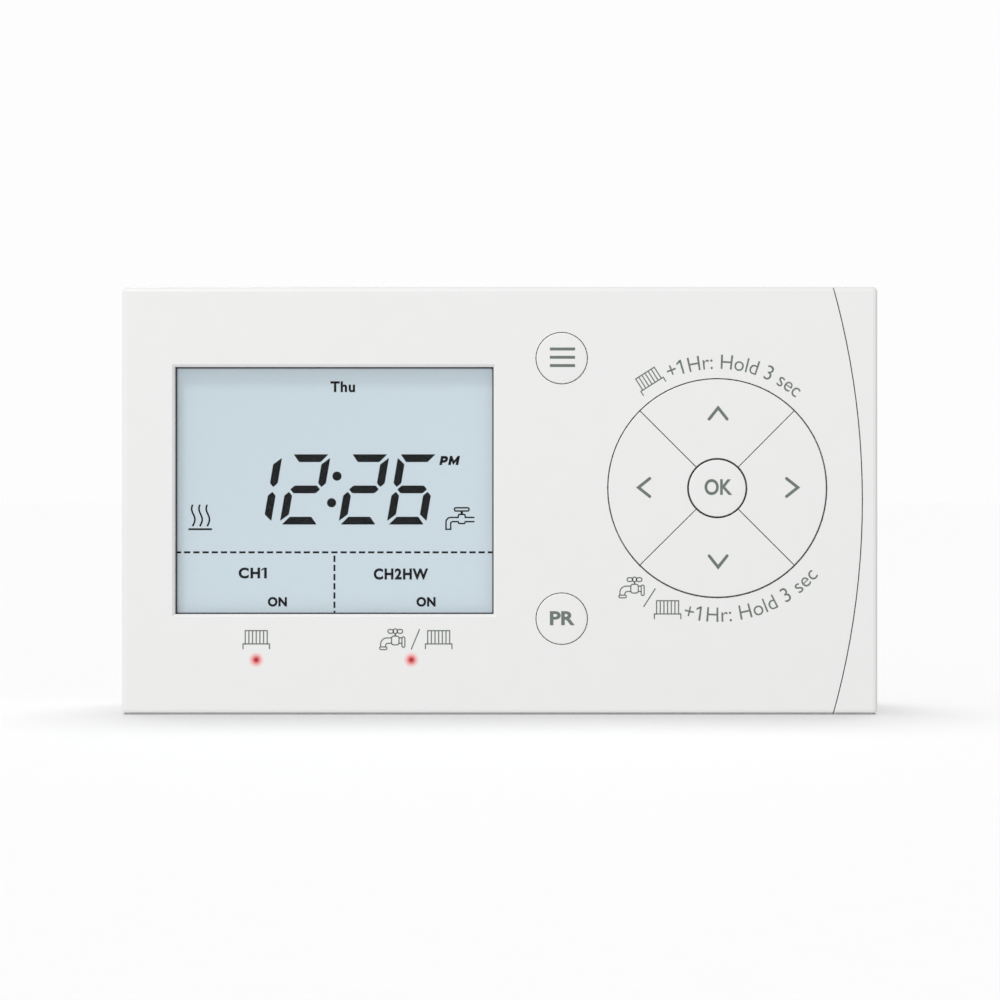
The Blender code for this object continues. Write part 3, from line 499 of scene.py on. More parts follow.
def piece_from(bm, name, body, slot, material=None, sharp_angle=35.0):
    """Makes the object, shades it, gives it its material, and lets it ride with its body.

    The material is the slot's own unless another one is named.
    """
    bmesh.ops.recalc_face_normals(bm, faces=bm.faces)
    mesh = bpy.data.meshes.new(name)
    bm.to_mesh(mesh)
    bm.free()
    for polygon in mesh.polygons:
        polygon.use_smooth = True
    mesh.set_sharp_from_angle(angle=math.radians(sharp_angle))
    mesh.materials.append(materials[material or slot])
    obj = bpy.data.objects.new(name, mesh)
    bpy.context.scene.collection.objects.link(obj)
    even = obj.modifiers.new("even_shading", "WEIGHTED_NORMAL")
    even.keep_sharp = True
    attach(obj, body)
    return obj


# CAD nodes that keep their shape

EDGE_WIDTHS = {
    "front_cover": 0.1,
    "end_cover": 0.1,
    "rear_case": 0.25,
    "wall_plate": 0.35,
    "terminal_block": 0.25,
    "display_lens": 0.15,
}
FINE_EDGE = 0.1


def dress(node, obj):
    """Gives a CAD node its material and rounds its sharp edges, without touching its mesh."""
    slot = obj.material_slots[0].material.name.split(".")[0]
    obj.material_slots[0].link = "OBJECT"
    obj.material_slots[0].material = materials[slot]
    welded = obj.modifiers.new("weld", "WELD")
    welded.merge_threshold = 0.002 * MM
    flat = obj.modifiers.new("flat_faces", "DECIMATE")
    flat.decimate_type = "DISSOLVE"
    flat.angle_limit = math.radians(0.5)
    edges = obj.modifiers.new("round_edges", "BEVEL")
    edges.width = EDGE_WIDTHS.get(node, FINE_EDGE) * MM
    edges.segments = 3
    edges.limit_method = "ANGLE"
    edges.angle_limit = math.radians(40)
    edges.use_clamp_overlap = True
    even = obj.modifiers.new("even_shading", "WEIGHTED_NORMAL")
    even.keep_sharp = True


def dress_all(replaced):
    for node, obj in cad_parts.items():
        if node not in replaced:
            dress(node, obj)


# Keys


def stem(bm, x, z, start):
    """The round stem behind a key, which reaches its switch."""
    centre = Vector((x, 0, z))
    rings = [circle(centre, STEM_RADIUS, start, SMALL_SIDES)]
    for inward, along in rounding(STEM_ROUNDING):
        rings.append(circle(centre, STEM_RADIUS - inward, STEM_END - along, SMALL_SIDES))
    lofted(bm, rings)


def round_key(name, centre, radius, flange):
    """A turned cap with a rounded rim and a very slightly crowned top, its flange and stem."""
    rings = []
    for share in (0.12, 0.5, 0.85):
        level = KEY_CAP + KEY_CROWN * share**2
        rings.append(circle(centre, (radius - KEY_ROUNDING) * share, level))
    for inward, along in reversed(rounding(KEY_ROUNDING)):
        rings.append(circle(centre, radius - inward, KEY_CAP + KEY_CROWN + along))
    rings.append(circle(centre, radius, flange[0]))
    rings.append(circle(centre, radius + KEY_FLANGE, flange[0]))
    rings.append(circle(centre, radius + KEY_FLANGE, flange[1]))
    bm = lofted(bmesh.new(), rings)
    stem(bm, centre.x, centre.z, flange[1] - STEM_OVERLAP)
    key = piece_from(bm, f"{name}_cap", name, "key_plastic")
    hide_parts(name)


def sector_outline(angle, inner, outer, lean=0.0):
    """A quarter of a ring between two radii, less half a seam along its straight sides.

    lean moves the outer edge up and to the left, which opens the seam on the shaded side.
    """
    points = []
    for radius, order, off in ((outer, 1, lean), (inner, -1, 0.0)):
        half = math.pi / 4 - math.asin(0.5 * SECTOR_SEAM / radius)
        for step in range(SECTOR_STEPS + 1):
            turn = angle + order * half * (2 * step / SECTOR_STEPS - 1)
            x = PAD.x + radius * math.cos(turn) - off
            points.append((x, PAD.z + radius * math.sin(turn) + off))
    return points


def sector_key(name, angle):
    """A quarter of the pad, with rounded edges, its flange and stem."""
    inner = CENTRE_KEY_RADIUS + SEAM
    outline = sector_outline(angle, inner, PAD_RADIUS - PAD_TRIM, PAD_LEAN)
    flange = sector_outline(angle, inner, PAD_RADIUS + SEAM + KEY_FLANGE)
    rings = []
    for inward, along in reversed(rounding(SECTOR_ROUNDING)):
        rings.append(at_depth(inset(outline, inward), KEY_CAP + along))
    rings.append(at_depth(outline, FLANGE[0]))
    rings.append(at_depth(flange, FLANGE[0]))
    rings.append(at_depth(flange, FLANGE[1]))
    bm = lofted(bmesh.new(), rings)
    x = PAD.x + SWITCH_OFFSET * math.cos(angle)
    z = PAD.z + SWITCH_OFFSET * math.sin(angle)
    stem(bm, x, z, FLANGE[1] - STEM_OVERLAP)
    key = piece_from(bm, f"{name}_cap", name, "key_plastic")
    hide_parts(name)


def make_keys():
    round_key("menu_button", MENU, ROUND_KEY_RADIUS + KEY_FIT, FLANGE)
    round_key("program_button", PROGRAM, ROUND_KEY_RADIUS + KEY_FIT, FLANGE)
    round_key("ok_button", PAD, CENTRE_KEY_RADIUS - CENTRE_TRIM, CENTRE_FLANGE)
    for quarter, name in enumerate(SECTORS):
        sector_key(name, quarter * math.pi / 2)


# Marks: thin raised shapes, each a list of closed outlines

MARK_SHARP_ANGLE = 20.0

# Outline points of the font nearer than this, in letter heights, are joined into one,
# because a heavier outline crosses itself there.
FONT_MERGE = 0.0095


def arc_points(x, z, radius, start, end, steps=8):
    """Points on an arc, with its angles in degrees."""
    angles = [math.radians(start + (end - start) * step / steps) for step in range(steps + 1)]
    return [(x + radius * math.cos(a), z + radius * math.sin(a)) for a in angles]


def rounded_box(x, z, width, height, radius):
    """A closed rounded rectangle about its middle."""
    points = []
    for side_x, side_z, start in ((1, 1, 0), (-1, 1, 90), (-1, -1, 180), (1, -1, 270)):
        corner_x = x + side_x * (width / 2 - radius)
        corner_z = z + side_z * (height / 2 - radius)
        points += arc_points(corner_x, corner_z, radius, start, start + 90, 5)
    return points


def side_of(points, half):
    """The line half a stroke to the left of an open line."""
    side = []
    for index, point in enumerate(points):
        here = Vector(point)
        before = Vector(points[index - 1]) if index else None
        after = Vector(points[index + 1]) if index + 1 < len(points) else None
        into = (here - before).normalized() if before else (after - here).normalized()
        out_of = (after - here).normalized() if after else into
        normal = Vector((-into.y, into.x)) + Vector((-out_of.y, out_of.x))
        side.append(tuple(here + normal / (1 + into.dot(out_of)) * half))
    return side


def stroke(points, width=STROKE, round_ends=False):
    """The outline of a line drawn through points."""
    half = width / 2
    left = side_of(points, half)
    right = side_of(points[::-1], half)
    if not round_ends:
        return [left + right]
    outline = []
    for line, end, toward in ((left, points[-1], points[-2]), (right, points[0], points[1])):
        outline += line
        heading = math.degrees(math.atan2(end[1] - toward[1], end[0] - toward[0]))
        outline += arc_points(end[0], end[1], half, heading + 90, heading - 90)[1:-1]
    return [outline]


def softened(points, reach):
    """A closed outline with its corners rounded off."""
    outline = []
    for here, point in enumerate(points):
        corner = Vector(point)
        start = corner + (Vector(points[here - 1]) - corner).normalized() * reach
        after = Vector(points[(here + 1) % len(points)])
        end = corner + (after - corner).normalized() * reach
        for share in (0.0, 0.25, 0.5, 0.75, 1.0):
            outline.append(tuple(start.lerp(corner, share).lerp(corner.lerp(end, share), share)))
    return outline


def ring_stroke(points, width=STROKE):
    """The two outlines of a closed line."""
    return [inset(points, -width / 2), inset(points, width / 2)]


def marks(name, shapes, place):
    """One piece of thin raised shapes. A shape is an outline, or an outline with its hole."""
    front, thickness, body, slot, ink = place
    bm = bmesh.new()
    for shape in shapes:
        fronts, backs = [], []
        for outline in shape:
            face = [bm.verts.new((x, front, z)) for x, z in outline]
            back = [bm.verts.new((x, front + thickness, z)) for x, z in outline]
            for here in range(len(outline)):
                bm.faces.new((face[here - 1], face[here], back[here], back[here - 1]))
            fronts += ring_edges(bm, face)
            backs += ring_edges(bm, back)
        for edges in (fronts, backs):
            bmesh.ops.triangle_fill(bm, edges=edges, use_beauty=True, use_dissolve=False)
    piece_from(bm, name, body, slot, ink, MARK_SHARP_ANGLE)


def moved(shapes, x, z, angle=0.0):
    """Shapes turned about the origin and then placed."""
    turn = Matrix.Rotation(math.radians(angle), 2)
    place = Vector((x, z))
    return [[[tuple(turn @ Vector(p) + place) for p in line] for line in shape] for shape in shapes]


def glyph_mesh(text, weight, spacing):
    """A line of text in Blender's own font as a mesh, 1 unit high, lying in X and Y."""
    curve = bpy.data.curves.new("text", "FONT")
    curve.body = text
    curve.offset = weight
    curve.space_character = spacing
    curve.resolution_u = 6
    curve.extrude = 0.5
    source = bpy.data.objects.new("text", curve)
    bpy.context.scene.collection.objects.link(source)
    bpy.context.view_layer.update()
    depsgraph = bpy.context.evaluated_depsgraph_get()
    mesh = bpy.data.meshes.new_from_object(source.evaluated_get(depsgraph))
    bpy.data.objects.remove(source)
    bpy.data.curves.remove(curve)
    return mesh


def islands(bm):
    """The mesh's separate shapes as lists of vertices, from left to right."""
    left, found = set(bm.verts), []
    while left:
        reached = [left.pop()]
        for vert in reached:
            for edge in vert.link_edges:
                other = edge.other_vert(vert)
                if other in left:
                    left.remove(other)
                    reached.append(other)
        found.append(reached)
    return sorted(found, key=lambda verts: min(vert.co.x for vert in verts))


def add_flag(bm, verts):
    """Gives the font's plain figure 1 its slanting stroke at the top."""
    left = min(vert.co.x for vert in verts)
    top = max(vert.co.y for vert in verts)
    tall = top - min(vert.co.y for vert in verts)
    outline = [(0.02, 0.0), (-0.25, -0.16), (-0.25, -0.29), (0.02, -0.15)]
    ends = []
    for z in (-0.5, 0.5):
        ends.append([bm.verts.new((left + x * tall, top + y * tall, z)) for x, y in outline])
    for here in range(len(outline)):
        bm.faces.new((ends[0][here - 1], ends[0][here], ends[1][here], ends[1][here - 1]))
    for end in ends:
        bm.faces.new(end)


def lettering(name, text, x, z, place, weight, spacing=1.0, bend=None, flagged=None):
    """Raised text that fills the spans x and z.

    bend maps it to another place. flagged is the number of the shape that is a figure 1.
    """
    front, thickness, body, slot, ink = place
    mesh = glyph_mesh(text, weight, spacing)
    bm = bmesh.new()
    bm.from_mesh(mesh)
    bpy.data.meshes.remove(mesh)
    bmesh.ops.remove_doubles(bm, verts=bm.verts, dist=FONT_MERGE)
    if flagged is not None:
        add_flag(bm, islands(bm)[flagged])
    low_x = min(vert.co.x for vert in bm.verts)
    high_x = max(vert.co.x for vert in bm.verts)
    low_y = min(vert.co.y for vert in bm.verts)
    high_y = max(vert.co.y for vert in bm.verts)
    for vert in bm.verts:
        across = x[0] + (x[1] - x[0]) * (vert.co.x - low_x) / (high_x - low_x)
        up = z[0] + (z[1] - z[0]) * (vert.co.y - low_y) / (high_y - low_y)
        depth = front if vert.co.z > 0 else front + thickness
        if bend:
            across, up = bend(across, up)
        vert.co = (across, depth, up)
    piece_from(bm, name, body, slot, ink, MARK_SHARP_ANGLE)


# Print on the cover and the keys

ICON_Z = -30.33 * MM
UPPER_ICON_ANGLE = math.radians(122.15)
UPPER_ICON_RADIUS = 27.15 * MM
UPPER_ICON_TILT = 32.4
LEGEND_RADIUS = 26.75 * MM
LEGEND_HEIGHT = 3.1 * MM
LEGEND_WIDTH = 29.9 * MM
LEGEND_WEIGHT = -0.004
CHEVRON_SHIFT = 0.15 * MM
CHEVRON_OFFSET = 16.85 * MM
CHEVRON_STROKE = 0.62 * MM
BAR_STROKE = 0.6 * MM

# Key, text, spans across and up from the key's middle, and weight.
KEY_WORDS = (
    ("program", "PR", PROGRAM, (-2.5, 2.75), (-1.35, 1.6), 0.03),
    ("ok", "OK", PAD, (-2.72, 3.12), (-1.45, 1.92), 0.022),
)


def radiator():
    """A radiator seen from the front, on its base line with two feet."""
    pitch, height, base, foot = mm(0.775, 2.8, 2.8, 1.1)
    side = 3 * pitch
    shapes = [ring_stroke([(-side, 0), (side, 0), (side, height), (-side, height)])]
    for place in range(-2, 3):
        x = place * pitch
        shapes.append(stroke([(x, STROKE / 2), (x, height - STROKE / 2)]))
    for way in (-1, 1):
        shapes.append(stroke([(way * base, -foot), (way * base, 0), (way * side, 0)]))
    return shapes


def tap():
    """A tap with a cross handle, seen from the side, its spout to the left."""
    rings = (
        (-1.0, 1.92, 1.12, 0.8, 0.38),
        (1.0, 1.92, 1.12, 0.8, 0.38),
        (0, 1.96, 0.78, 0.98, 0.34),
        (0, 0, 1.58, 1.85, 0.44),
        (1.72, -0.34, 0.62, 2.2, 0.28),
        (-2.53, -1.65, 1.56, 0.56, 0.26),
    )
    shapes = [ring_stroke(rounded_box(*mm(*ring))) for ring in rings]
    shapes.append(stroke([mm(0, 0.95), mm(0, 1.45)], 0.34 * MM))
    for level in (0.55, -0.6):
        shapes.append(stroke([mm(0.8, level), mm(1.4, level)]))
    for start, turn, end in (
        (mm(-0.8, 0.54), mm(-1.75, -0.81, 1.35), mm(-3.1, -1.36)),
        (mm(-0.8, -0.6), mm(-1.55, -1.1, 0.5), mm(-2.05, -1.36)),
    ):
        shapes.append(stroke([start, *arc_points(*turn, 90, 180), end]))
    return shapes


def print_icons():
    """Radiator above channel 1's light, and tap or radiator above channel 2's and by the pad."""
    marks("icon_channel_1", moved(radiator(), LIGHTS[0].x, ICON_Z), ON_COVER)
    second = moved(tap(), *mm(-22.1, -29.6))
    second.append(stroke([mm(-18.73, -31.5), mm(-16.95, -27.2)]))
    second += moved(radiator(), -12.92 * MM, ICON_Z)
    marks("icon_channel_2", second, ON_COVER)
    across = PAD.x + UPPER_ICON_RADIUS * math.cos(UPPER_ICON_ANGLE)
    up = PAD.z + UPPER_ICON_RADIUS * math.sin(UPPER_ICON_ANGLE)
    centred = moved(radiator(), 0, -1.2 * MM)
    marks("icon_upper", moved(centred, across, up, UPPER_ICON_TILT), ON_COVER)
    lower = moved(tap(), *mm(28.5, -18.65))
    lower.append(stroke([mm(30.4, -22.5), mm(32.92, -18.6)]))
    lower += moved(radiator(), *mm(35.49, -24.0))
    marks("icon_lower", lower, ON_COVER)


def around_pad(start, clockwise):
    """A bend that sets text round the pad from an angle in degrees, its tops out or in."""
    way = -1 if clockwise else 1

    def bend(across, up):
        radius = LEGEND_RADIUS - way * up
        angle = math.radians(start) + way * across / LEGEND_RADIUS
        return PAD.x + radius * math.cos(angle), PAD.z + radius * math.sin(angle)

    return bend


def print_legends():
    """Plain wording for the one-hour boost, above and below the pad."""
    span = (0, LEGEND_WIDTH)
    rise = (-LEGEND_HEIGHT / 2, LEGEND_HEIGHT / 2)
    for name, start, clockwise in (("upper", 113.4, True), ("lower", 255.1, False)):
        bend = around_pad(start, clockwise)
        text = "+1Hr: Hold 3 sec"
        lettering(f"legend_{name}", text, span, rise, ON_COVER, LEGEND_WEIGHT, bend=bend, flagged=1)


def on_key(name):
    """What a mark on a key lies on, in the form that marks and lettering take."""
    return KEY_FRONT, 3 * INK, name, "key_plastic", "print_ink"


def print_keys():
    bars = []
    for level in (-1.75, 0, 1.75):
        z = MENU.z + 0.17 * MM + level * MM
        bars.append(stroke([(MENU.x - 2.5 * MM, z), (MENU.x + 2.8 * MM, z)], BAR_STROKE))
    marks("mark_menu", bars, on_key("menu_button"))
    chevron = [stroke([mm(-1.9, -2.4), (0.0, 0.0), mm(1.9, -2.4)], CHEVRON_STROKE, True)]
    for quarter, name in enumerate(SECTORS):
        turn = math.radians(90 * quarter)
        x = PAD.x + CHEVRON_SHIFT + CHEVRON_OFFSET * math.cos(turn)
        z = PAD.z + CHEVRON_SHIFT + CHEVRON_OFFSET * math.sin(turn)
        marks(f"mark_{name}", moved(chevron, x, z, 90 * (quarter - 1)), on_key(name))
    for name, text, centre, across, up, weight in KEY_WORDS:
        x = tuple(centre.x + value for value in mm(*across))
        z = tuple(centre.z + value for value in mm(*up))
        lettering(f"mark_{name}", text, x, z, on_key(f"{name}_button"), weight)


# The display

# Name, text, spans across and up, weight, spacing, and which shape is a figure 1.
DISPLAY_WORDS = (
    ("day", "Thu", (-36.04, -30.82), (23.05, 25.38), 0.035, 1.12, None),
    ("channel_1", "CH1", (-55.62, -49.62), (-16.62, -14.28), 0.042, 1.16, 2),
    ("channel_2", "CH2HW", (-26.85, -15.25), (-16.87, -14.45), 0.042, 1.14, None),
    ("state_1", "ON", (-49.4, -45.33), (-22.62, -20.55), 0.048, 1.1, None),
    ("state_2", "ON", (-17.75, -13.67), (-22.62, -20.55), 0.048, 1.1, None),
)


def segment(letter):
    """One bar of a seven-part digit, upright, from the digit's lower left corner."""
    wide, high, bar, gap, inner = DIGIT_WIDTH, DIGIT_HEIGHT, DIGIT_BAR, DIGIT_GAP, DIGIT_INSET
    half = high / 2
    slope = 0.85 * bar
    top = [(gap, high), (wide - gap, high), (wide - gap - slope, high - bar), (gap + slope, high - bar)]
    side = [
        (wide, high - 1.5 * gap),
        (wide, half + bar / 2 + gap),
        (wide - bar / 2, half + gap),
        (wide - bar, half + bar / 2 + gap),
        (wide - bar, high - bar - gap),
    ]
    middle_bar = [
        (inner, half),
        (inner + bar / 2, half + bar / 2),
        (wide - inner - bar / 2, half + bar / 2),
        (wide - inner, half),
        (wide - inner - bar / 2, half - bar / 2),
        (inner + bar / 2, half - bar / 2),
    ]

    def upside_down(points):
        return [(x, high - z) for x, z in points]

    def mirrored(points):
        return [(wide - x, z) for x, z in points]

    shapes = {
        "a": top,
        "b": side,
        "c": upside_down(side),
        "d": upside_down(top),
        "e": mirrored(upside_down(side)),
        "f": mirrored(side),
        "g": middle_bar,
    }
    return shapes[letter]


def display_digits():
    shapes = []
    for left, letters in DIGITS:
        for letter in letters:
            upright = segment(letter)
            outline = [(left + x + DIGIT_SLANT * z, DIGIT_BASE + z) for x, z in upright]
            shapes.append([softened(outline, DIGIT_CORNER)])
    for x, z in COLON:
        shapes.append([arc_points(x, z, COLON_RADIUS, 0, 345, 23)])
    marks("display_digits", shapes, ON_DISPLAY)


def display_lines():
    """The dashed lines that divide the display."""
    pitch, dash, thickness = mm(1.96, 1.34, 0.42)
    level, divide, lowest = mm(-11.04, -35.21, -24.3)
    shapes = []
    x = WINDOW_X[0] - 0.4 * MM
    while x < WINDOW_X[1]:
        shapes.append(stroke([(x, level), (min(x + dash, WINDOW_X[1]), level)], thickness))
        x += pitch
    z = level - 0.7 * MM
    while z > lowest:
        shapes.append(stroke([(divide, z), (divide, max(z - dash, lowest))], thickness))
        z -= pitch
    marks("display_lines", shapes, ON_DISPLAY)


def display_icons():
    """Rising heat on the left and a tap on the right."""
    shapes = []
    for x in (-65.28, -63.72, -62.17):
        wave = []
        for step in range(17):
            share = step / 16
            sway = 0.35 * math.sin(2 * math.pi * share - 0.4)
            wave.append(mm(x + sway, -5.5 + 4.6 * share))
        shapes.append(stroke(wave, 0.36 * MM))
    shapes.append(stroke([mm(-66.3, -6.12), mm(-61.3, -6.12)], 0.4 * MM))
    line = 0.31 * MM
    handle = ring_stroke(rounded_box(*mm(0, 2.13, 3.1, 0.68, 0.3)), line)
    post = stroke([mm(0, 1.2), mm(0, 1.79)], 0.5 * MM)
    body = [mm(2.7, 0.42), mm(0.76, 0.42)]
    body += arc_points(*mm(0.46, 0.8, 0.26), 0, 90, 4)
    body += arc_points(*mm(-0.46, 0.8, 0.26), 90, 180, 4)
    body.append(mm(-0.76, 0.42))
    body += arc_points(*mm(-2.35, -0.58, 1.0), 90, 180)
    body += [mm(-3.35, -2.1), mm(-2.35, -2.1)]
    body += arc_points(*mm(-1.95, -0.88, 0.4), 180, 90, 4)
    body.append(mm(-0.76, -0.48))
    body += arc_points(*mm(-0.46, -0.64, 0.24), 180, 270, 4)
    body += arc_points(*mm(0.46, -0.64, 0.24), 270, 360, 4)
    body += [mm(0.76, -0.48), mm(2.7, -0.48)]
    shapes += moved([handle, post, stroke(body, line)], *mm(-8.1, -4.03))
    marks("display_icons", shapes, ON_DISPLAY)


def half_of_day():
    """The letters PM in the display, drawn as strokes because they are small and heavy."""
    tall, heavy, straight = mm(1.94, 0.58, 0.62)
    top, half = tall - heavy / 2, 0.56 * tall
    bowl_radius = (top - half + heavy / 2) / 2
    bowl = [(0.0, top), (straight, top)]
    bowl += arc_points(straight, top - bowl_radius, bowl_radius, 90, -90)[1:]
    bowl.append((0.0, top - 2 * bowl_radius))
    left, right = mm(1.88, 3.46)
    shoulder = tall - 0.3 * heavy
    valley = [(left, shoulder), ((left + right) / 2, 0.25 * tall), (right, shoulder)]
    letters = [stroke([(0.0, 0.0), (0.0, tall)], heavy), stroke(bowl, heavy)]
    for x in (left, right):
        letters.append(stroke([(x, 0.0), (x, tall)], heavy))
    letters.append(stroke(valley, 0.85 * heavy))
    low_x, low_z = mm(-12.6, 7.54)
    slanted = []
    for shape in letters:
        slanted.append([[(low_x + x + 0.2 * z, low_z + z) for x, z in line] for line in shape])
    marks("display_half_of_day", slanted, ON_DISPLAY)


def make_display():
    low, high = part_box("lcd_panel")
    x, z = (low.x + high.x) / 2, (low.z + high.z) / 2
    wide, tall = high.x - low.x - FILM_MARGINS, high.z - low.z - FILM_MARGINS
    outline = rounded_box(x, z, wide, tall, FILM_CORNER)
    rings = []
    for inward, along in reversed(rounding(FILM_ROUNDING)):
        rings.append(at_depth(inset(outline, inward), FILM_FRONT + along))
    rings.append(at_depth(outline, GLASS_FRONT))
    bm = lofted(bmesh.new(), rings)
    piece_from(bm, "display_film", "module", "display_glass", "display_film")
    display_digits()
    display_lines()
    display_icons()
    half_of_day()
    for name, text, x, z, weight, spacing, flagged in DISPLAY_WORDS:
        span, rise = mm(*x), mm(*z)
        lettering(f"display_{name}", text, span, rise, ON_DISPLAY, weight, spacing, flagged=flagged)


def make_gasket_shade():
    """A dark gasket between the cover and the lens, just showing inside the window's edge, where its
    dark edge also stands in for the shade in the gap there.
    """
    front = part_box("display_lens")[0].y - GASKET_THICKNESS - GASKET_GAP
    place = (front, GASKET_THICKNESS, "module", "rubber_strip", "rubber_strip")
    ring = []
    for out, radius in ((GASKET_HIDDEN, 0.8 * MM), (-GASKET_SHADE_SHOWN, 0.3 * MM)):
        ring.append(rounded_box(*WINDOW_MIDDLE, WINDOW_WIDE + 2 * out, WINDOW_TALL + 2 * out, radius))
    marks("lens_gasket_shade", [ring], place)


# Lights in the cover

TIP_RADIUS = 0.76 * MM
TIP_RISE = 0.09 * MM


def make_light_tips():
    """A small domed red tip over each status light's hole, at the end of its light pipe."""
    for number, centre in enumerate(LIGHTS, start=1):
        rings = []
        for share in (0.15, 0.4, 0.6, 0.8, 0.92, 1.0):
            depth = FACE - INK - TIP_RISE * (1 - share**2)
            rings.append(circle(centre, TIP_RADIUS * share, depth, SMALL_SIDES))
        rings.append(circle(centre, TIP_RADIUS, FACE, SMALL_SIDES))
        bm = lofted(bmesh.new(), rings)
        piece_from(bm, f"status_light_{number}", "module", "red_light")


# Floor, light and camera

FLOOR_REACH = 30.0
FLOOR_GREY = (0.635, 0.635, 0.635)
FLOOR_GLOW = 0.19
STRIP_MARGIN = 0.2 * MM
STRIP_DEPTH = 0.01 * MM
STRIP_COVER = 20 * MM
DARK_AT = 0.5
TOUCHING = 0.05 * MM

# How bright the surround is where it is seen, and as a light: above, below and behind.
SEEN = 0.985
LIT_ABOVE = 0.63
LIT_BELOW = 0.985
LIT_BEHIND = 0.7

# Square lights: place, size and power. The sky light has a power, a spread and a tilt.
KEY_LIGHT = ((-0.5, -0.95, 1.15), 0.35, 11.4)
BACK_LIGHT = ((-0.5, 1.2, 0.5), 0.6, 4.0)
SKY_POWER = 2.16
SKY_SPREAD = math.radians(35)
SKY_TILT = math.radians(-12.5)

CAMERA_PLACE = (0.00005, -0.5303, 0.0001)
CAMERA_LENS = 85.0
CAMERA_SENSOR = 36.0
CAMERA_NEAREST = 0.01


def stage_plane(name, level, material, *rectangles):
    """A flat piece of floor: a rectangle, less a second one in it if there is one.

    Each rectangle is its left and near corner and its right and far corner.
    """
    bm = bmesh.new()
    for (left, near), (right, far) in rectangles:
        corners = ((left, near), (right, near), (right, far), (left, far))
        loop = [bm.verts.new((x, y, level)) for x, y in corners]
        for here in range(4):
            bm.edges.new((loop[here - 1], loop[here]))
    edges, up = bm.edges[:], (0, 0, 1)
    bmesh.ops.triangle_fill(bm, edges=edges, use_beauty=True, use_dissolve=False, normal=up)
    mesh = bpy.data.meshes.new(name)
    bm.to_mesh(mesh)
    bm.free()
    mesh.materials.append(material)
    obj = bpy.data.objects.new(name, mesh)
    bpy.context.scene.collection.objects.link(obj)
    obj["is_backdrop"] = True
    return obj


def floor_paint(name, cover=None):
    """A matt pale floor that glows a little, but not where something nearer than cover hides it.

    It lets through what comes from below, and light for a face that rests on it, so that
    an underside can be seen.
    """
    material = matt(moulded(name, FLOOR_GREY, 0.9, 400.0, 0.02, 0.003))
    nodes, links = material.node_tree.nodes, material.node_tree.links
    shader = nodes["Principled BSDF"]
    shader.inputs["Emission Color"].default_value = (1.0, 1.0, 1.0, 1.0)
    shader.inputs["Emission Strength"].default_value = FLOOR_GLOW
    if cover:
        openness = nodes.new("ShaderNodeAmbientOcclusion")
        openness.inputs["Distance"].default_value = cover
        glow = ramp(nodes, links, openness.outputs["AO"], (DARK_AT, 1.0), (0.0, FLOOR_GLOW))
        links.new(glow, shader.inputs["Emission Strength"])
    length = nodes.new("ShaderNodeLightPath").outputs["Ray Length"]
    touching = computed(nodes, links, "Math", "LESS_THAN", length, TOUCHING)["Value"]
    from_below = nodes.new("ShaderNodeNewGeometry").outputs["Backfacing"]
    passing = computed(nodes, links, "Math", "MAXIMUM", touching, from_below)["Value"]
    unseen = nodes.new("ShaderNodeBsdfTransparent")
    show_blend(nodes, links, passing, shader.outputs["BSDF"], unseen.outputs["BSDF"])
    return material


def make_stage():
    """The floor. Only its strip under the object shades the object, so the front stays evenly lit."""
    low, high = cad_box
    near = (low.x + STRIP_MARGIN, low.y + STRIP_MARGIN)
    far = (high.x - STRIP_MARGIN, high.y - STRIP_MARGIN)
    wide = ((-FLOOR_REACH, -FLOOR_REACH), (FLOOR_REACH, FLOOR_REACH))
    under_paint = floor_paint("floor_under_paint", STRIP_COVER)
    strip = stage_plane("floor_under", FLOOR - STRIP_DEPTH, under_paint, (near, far))
    floor = stage_plane("floor", FLOOR, floor_paint("floor_paint"), wide, (near, far))
    floor.visible_diffuse = False
    floor.visible_glossy = False
    return [floor, strip]


def area_light(name, place, size, energy):
    """A square light that faces the object."""
    data = bpy.data.lights.new(name, "AREA")
    data.shape = "RECTANGLE"
    data.size = size
    data.size_y = size
    data.energy = energy
    light = bpy.data.objects.new(name, data)
    light.location = place
    light.rotation_mode = "QUATERNION"
    light.rotation_quaternion = (-Vector(place)).to_track_quat("-Z", "Y")
    bpy.context.scene.collection.objects.link(light)
    return light


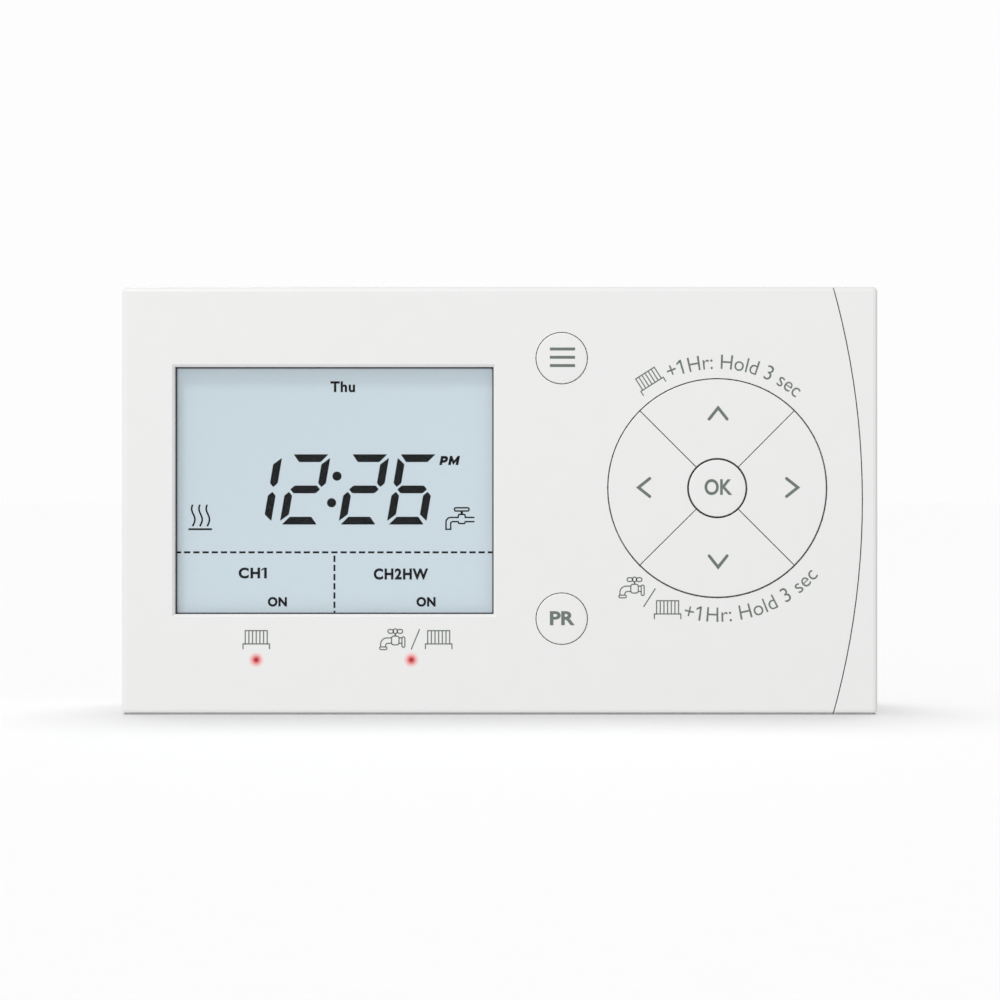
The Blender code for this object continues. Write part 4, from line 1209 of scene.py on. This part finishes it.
def make_world():
    """A white surround, seen brighter than it lights.

    It lights more from below, as a white floor does, and less from behind on the right.
    """
    world = bpy.data.worlds.new("studio")
    bpy.context.scene.world = world
    world.use_nodes = True
    nodes, links = world.node_tree.nodes, world.node_tree.links
    background = nodes["Background"]
    background.inputs["Color"].default_value = (1.0, 1.0, 1.0, 1.0)
    place = nodes.new("ShaderNodeTexCoord").outputs["Generated"]
    split = nodes.new("ShaderNodeSeparateXYZ")
    links.new(place, split.inputs["Vector"])
    lit = ramp(nodes, links, split.outputs["Z"], (-0.1, 0.1), (LIT_BELOW, LIT_ABOVE))
    away = computed(nodes, links, "VectorMath", "DOT_PRODUCT", place, (0.7, 0.7, 0.0))["Value"]
    dimmed = ramp(nodes, links, away, (0.1, 0.5), (1.0, LIT_BEHIND))
    surround = computed(nodes, links, "Math", "MULTIPLY", lit, dimmed)["Value"]
    seen = nodes.new("ShaderNodeLightPath").outputs["Is Camera Ray"]
    level = ramp(nodes, links, seen, (0.0, 1.0), (surround, SEEN))
    links.new(level, background.inputs["Strength"])


def only_for(light, name, objects):
    """The light falls on these objects only, though others still shade them from it."""
    receivers = bpy.data.collections.new(name)
    for obj in objects:
        receivers.objects.link(obj)
    light.light_linking.receiver_collection = receivers


def make_light(floors):
    """A key light from the upper left and a weak one from behind, which fall on the object only.

    Soft light from above falls on the floor only.
    """
    make_world()
    key = area_light("key_light", *KEY_LIGHT)
    back = area_light("back_light", *BACK_LIGHT)
    only_for(key, "lit_by_key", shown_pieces())
    only_for(back, "lit_by_back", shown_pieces())
    data = bpy.data.lights.new("sky_light", "SUN")
    data.energy = SKY_POWER
    data.angle = SKY_SPREAD
    sky = bpy.data.objects.new("sky_light", data)
    sky.rotation_euler.x = SKY_TILT
    bpy.context.scene.collection.objects.link(sky)
    only_for(sky, "lit_by_sky", floors)


def make_camera():
    """A camera that looks straight at the front, from a little over half a metre away."""
    data = bpy.data.cameras.new("camera")
    data.lens = CAMERA_LENS
    data.sensor_width = CAMERA_SENSOR
    data.clip_start = CAMERA_NEAREST
    camera = bpy.data.objects.new("camera", data)
    camera.location = CAMERA_PLACE
    camera.rotation_euler = (math.pi / 2, 0, 0)
    bpy.context.scene.collection.objects.link(camera)
    bpy.context.scene.camera = camera


make_camera()
bpy.context.scene.view_settings.view_transform = "Standard"
dress_all({"menu_button", "program_button", "ok_button", *SECTORS})
make_keys()
make_display()
make_gasket_shade()
make_light_tips()
print_icons()
print_legends()
print_keys()
make_light(make_stage())
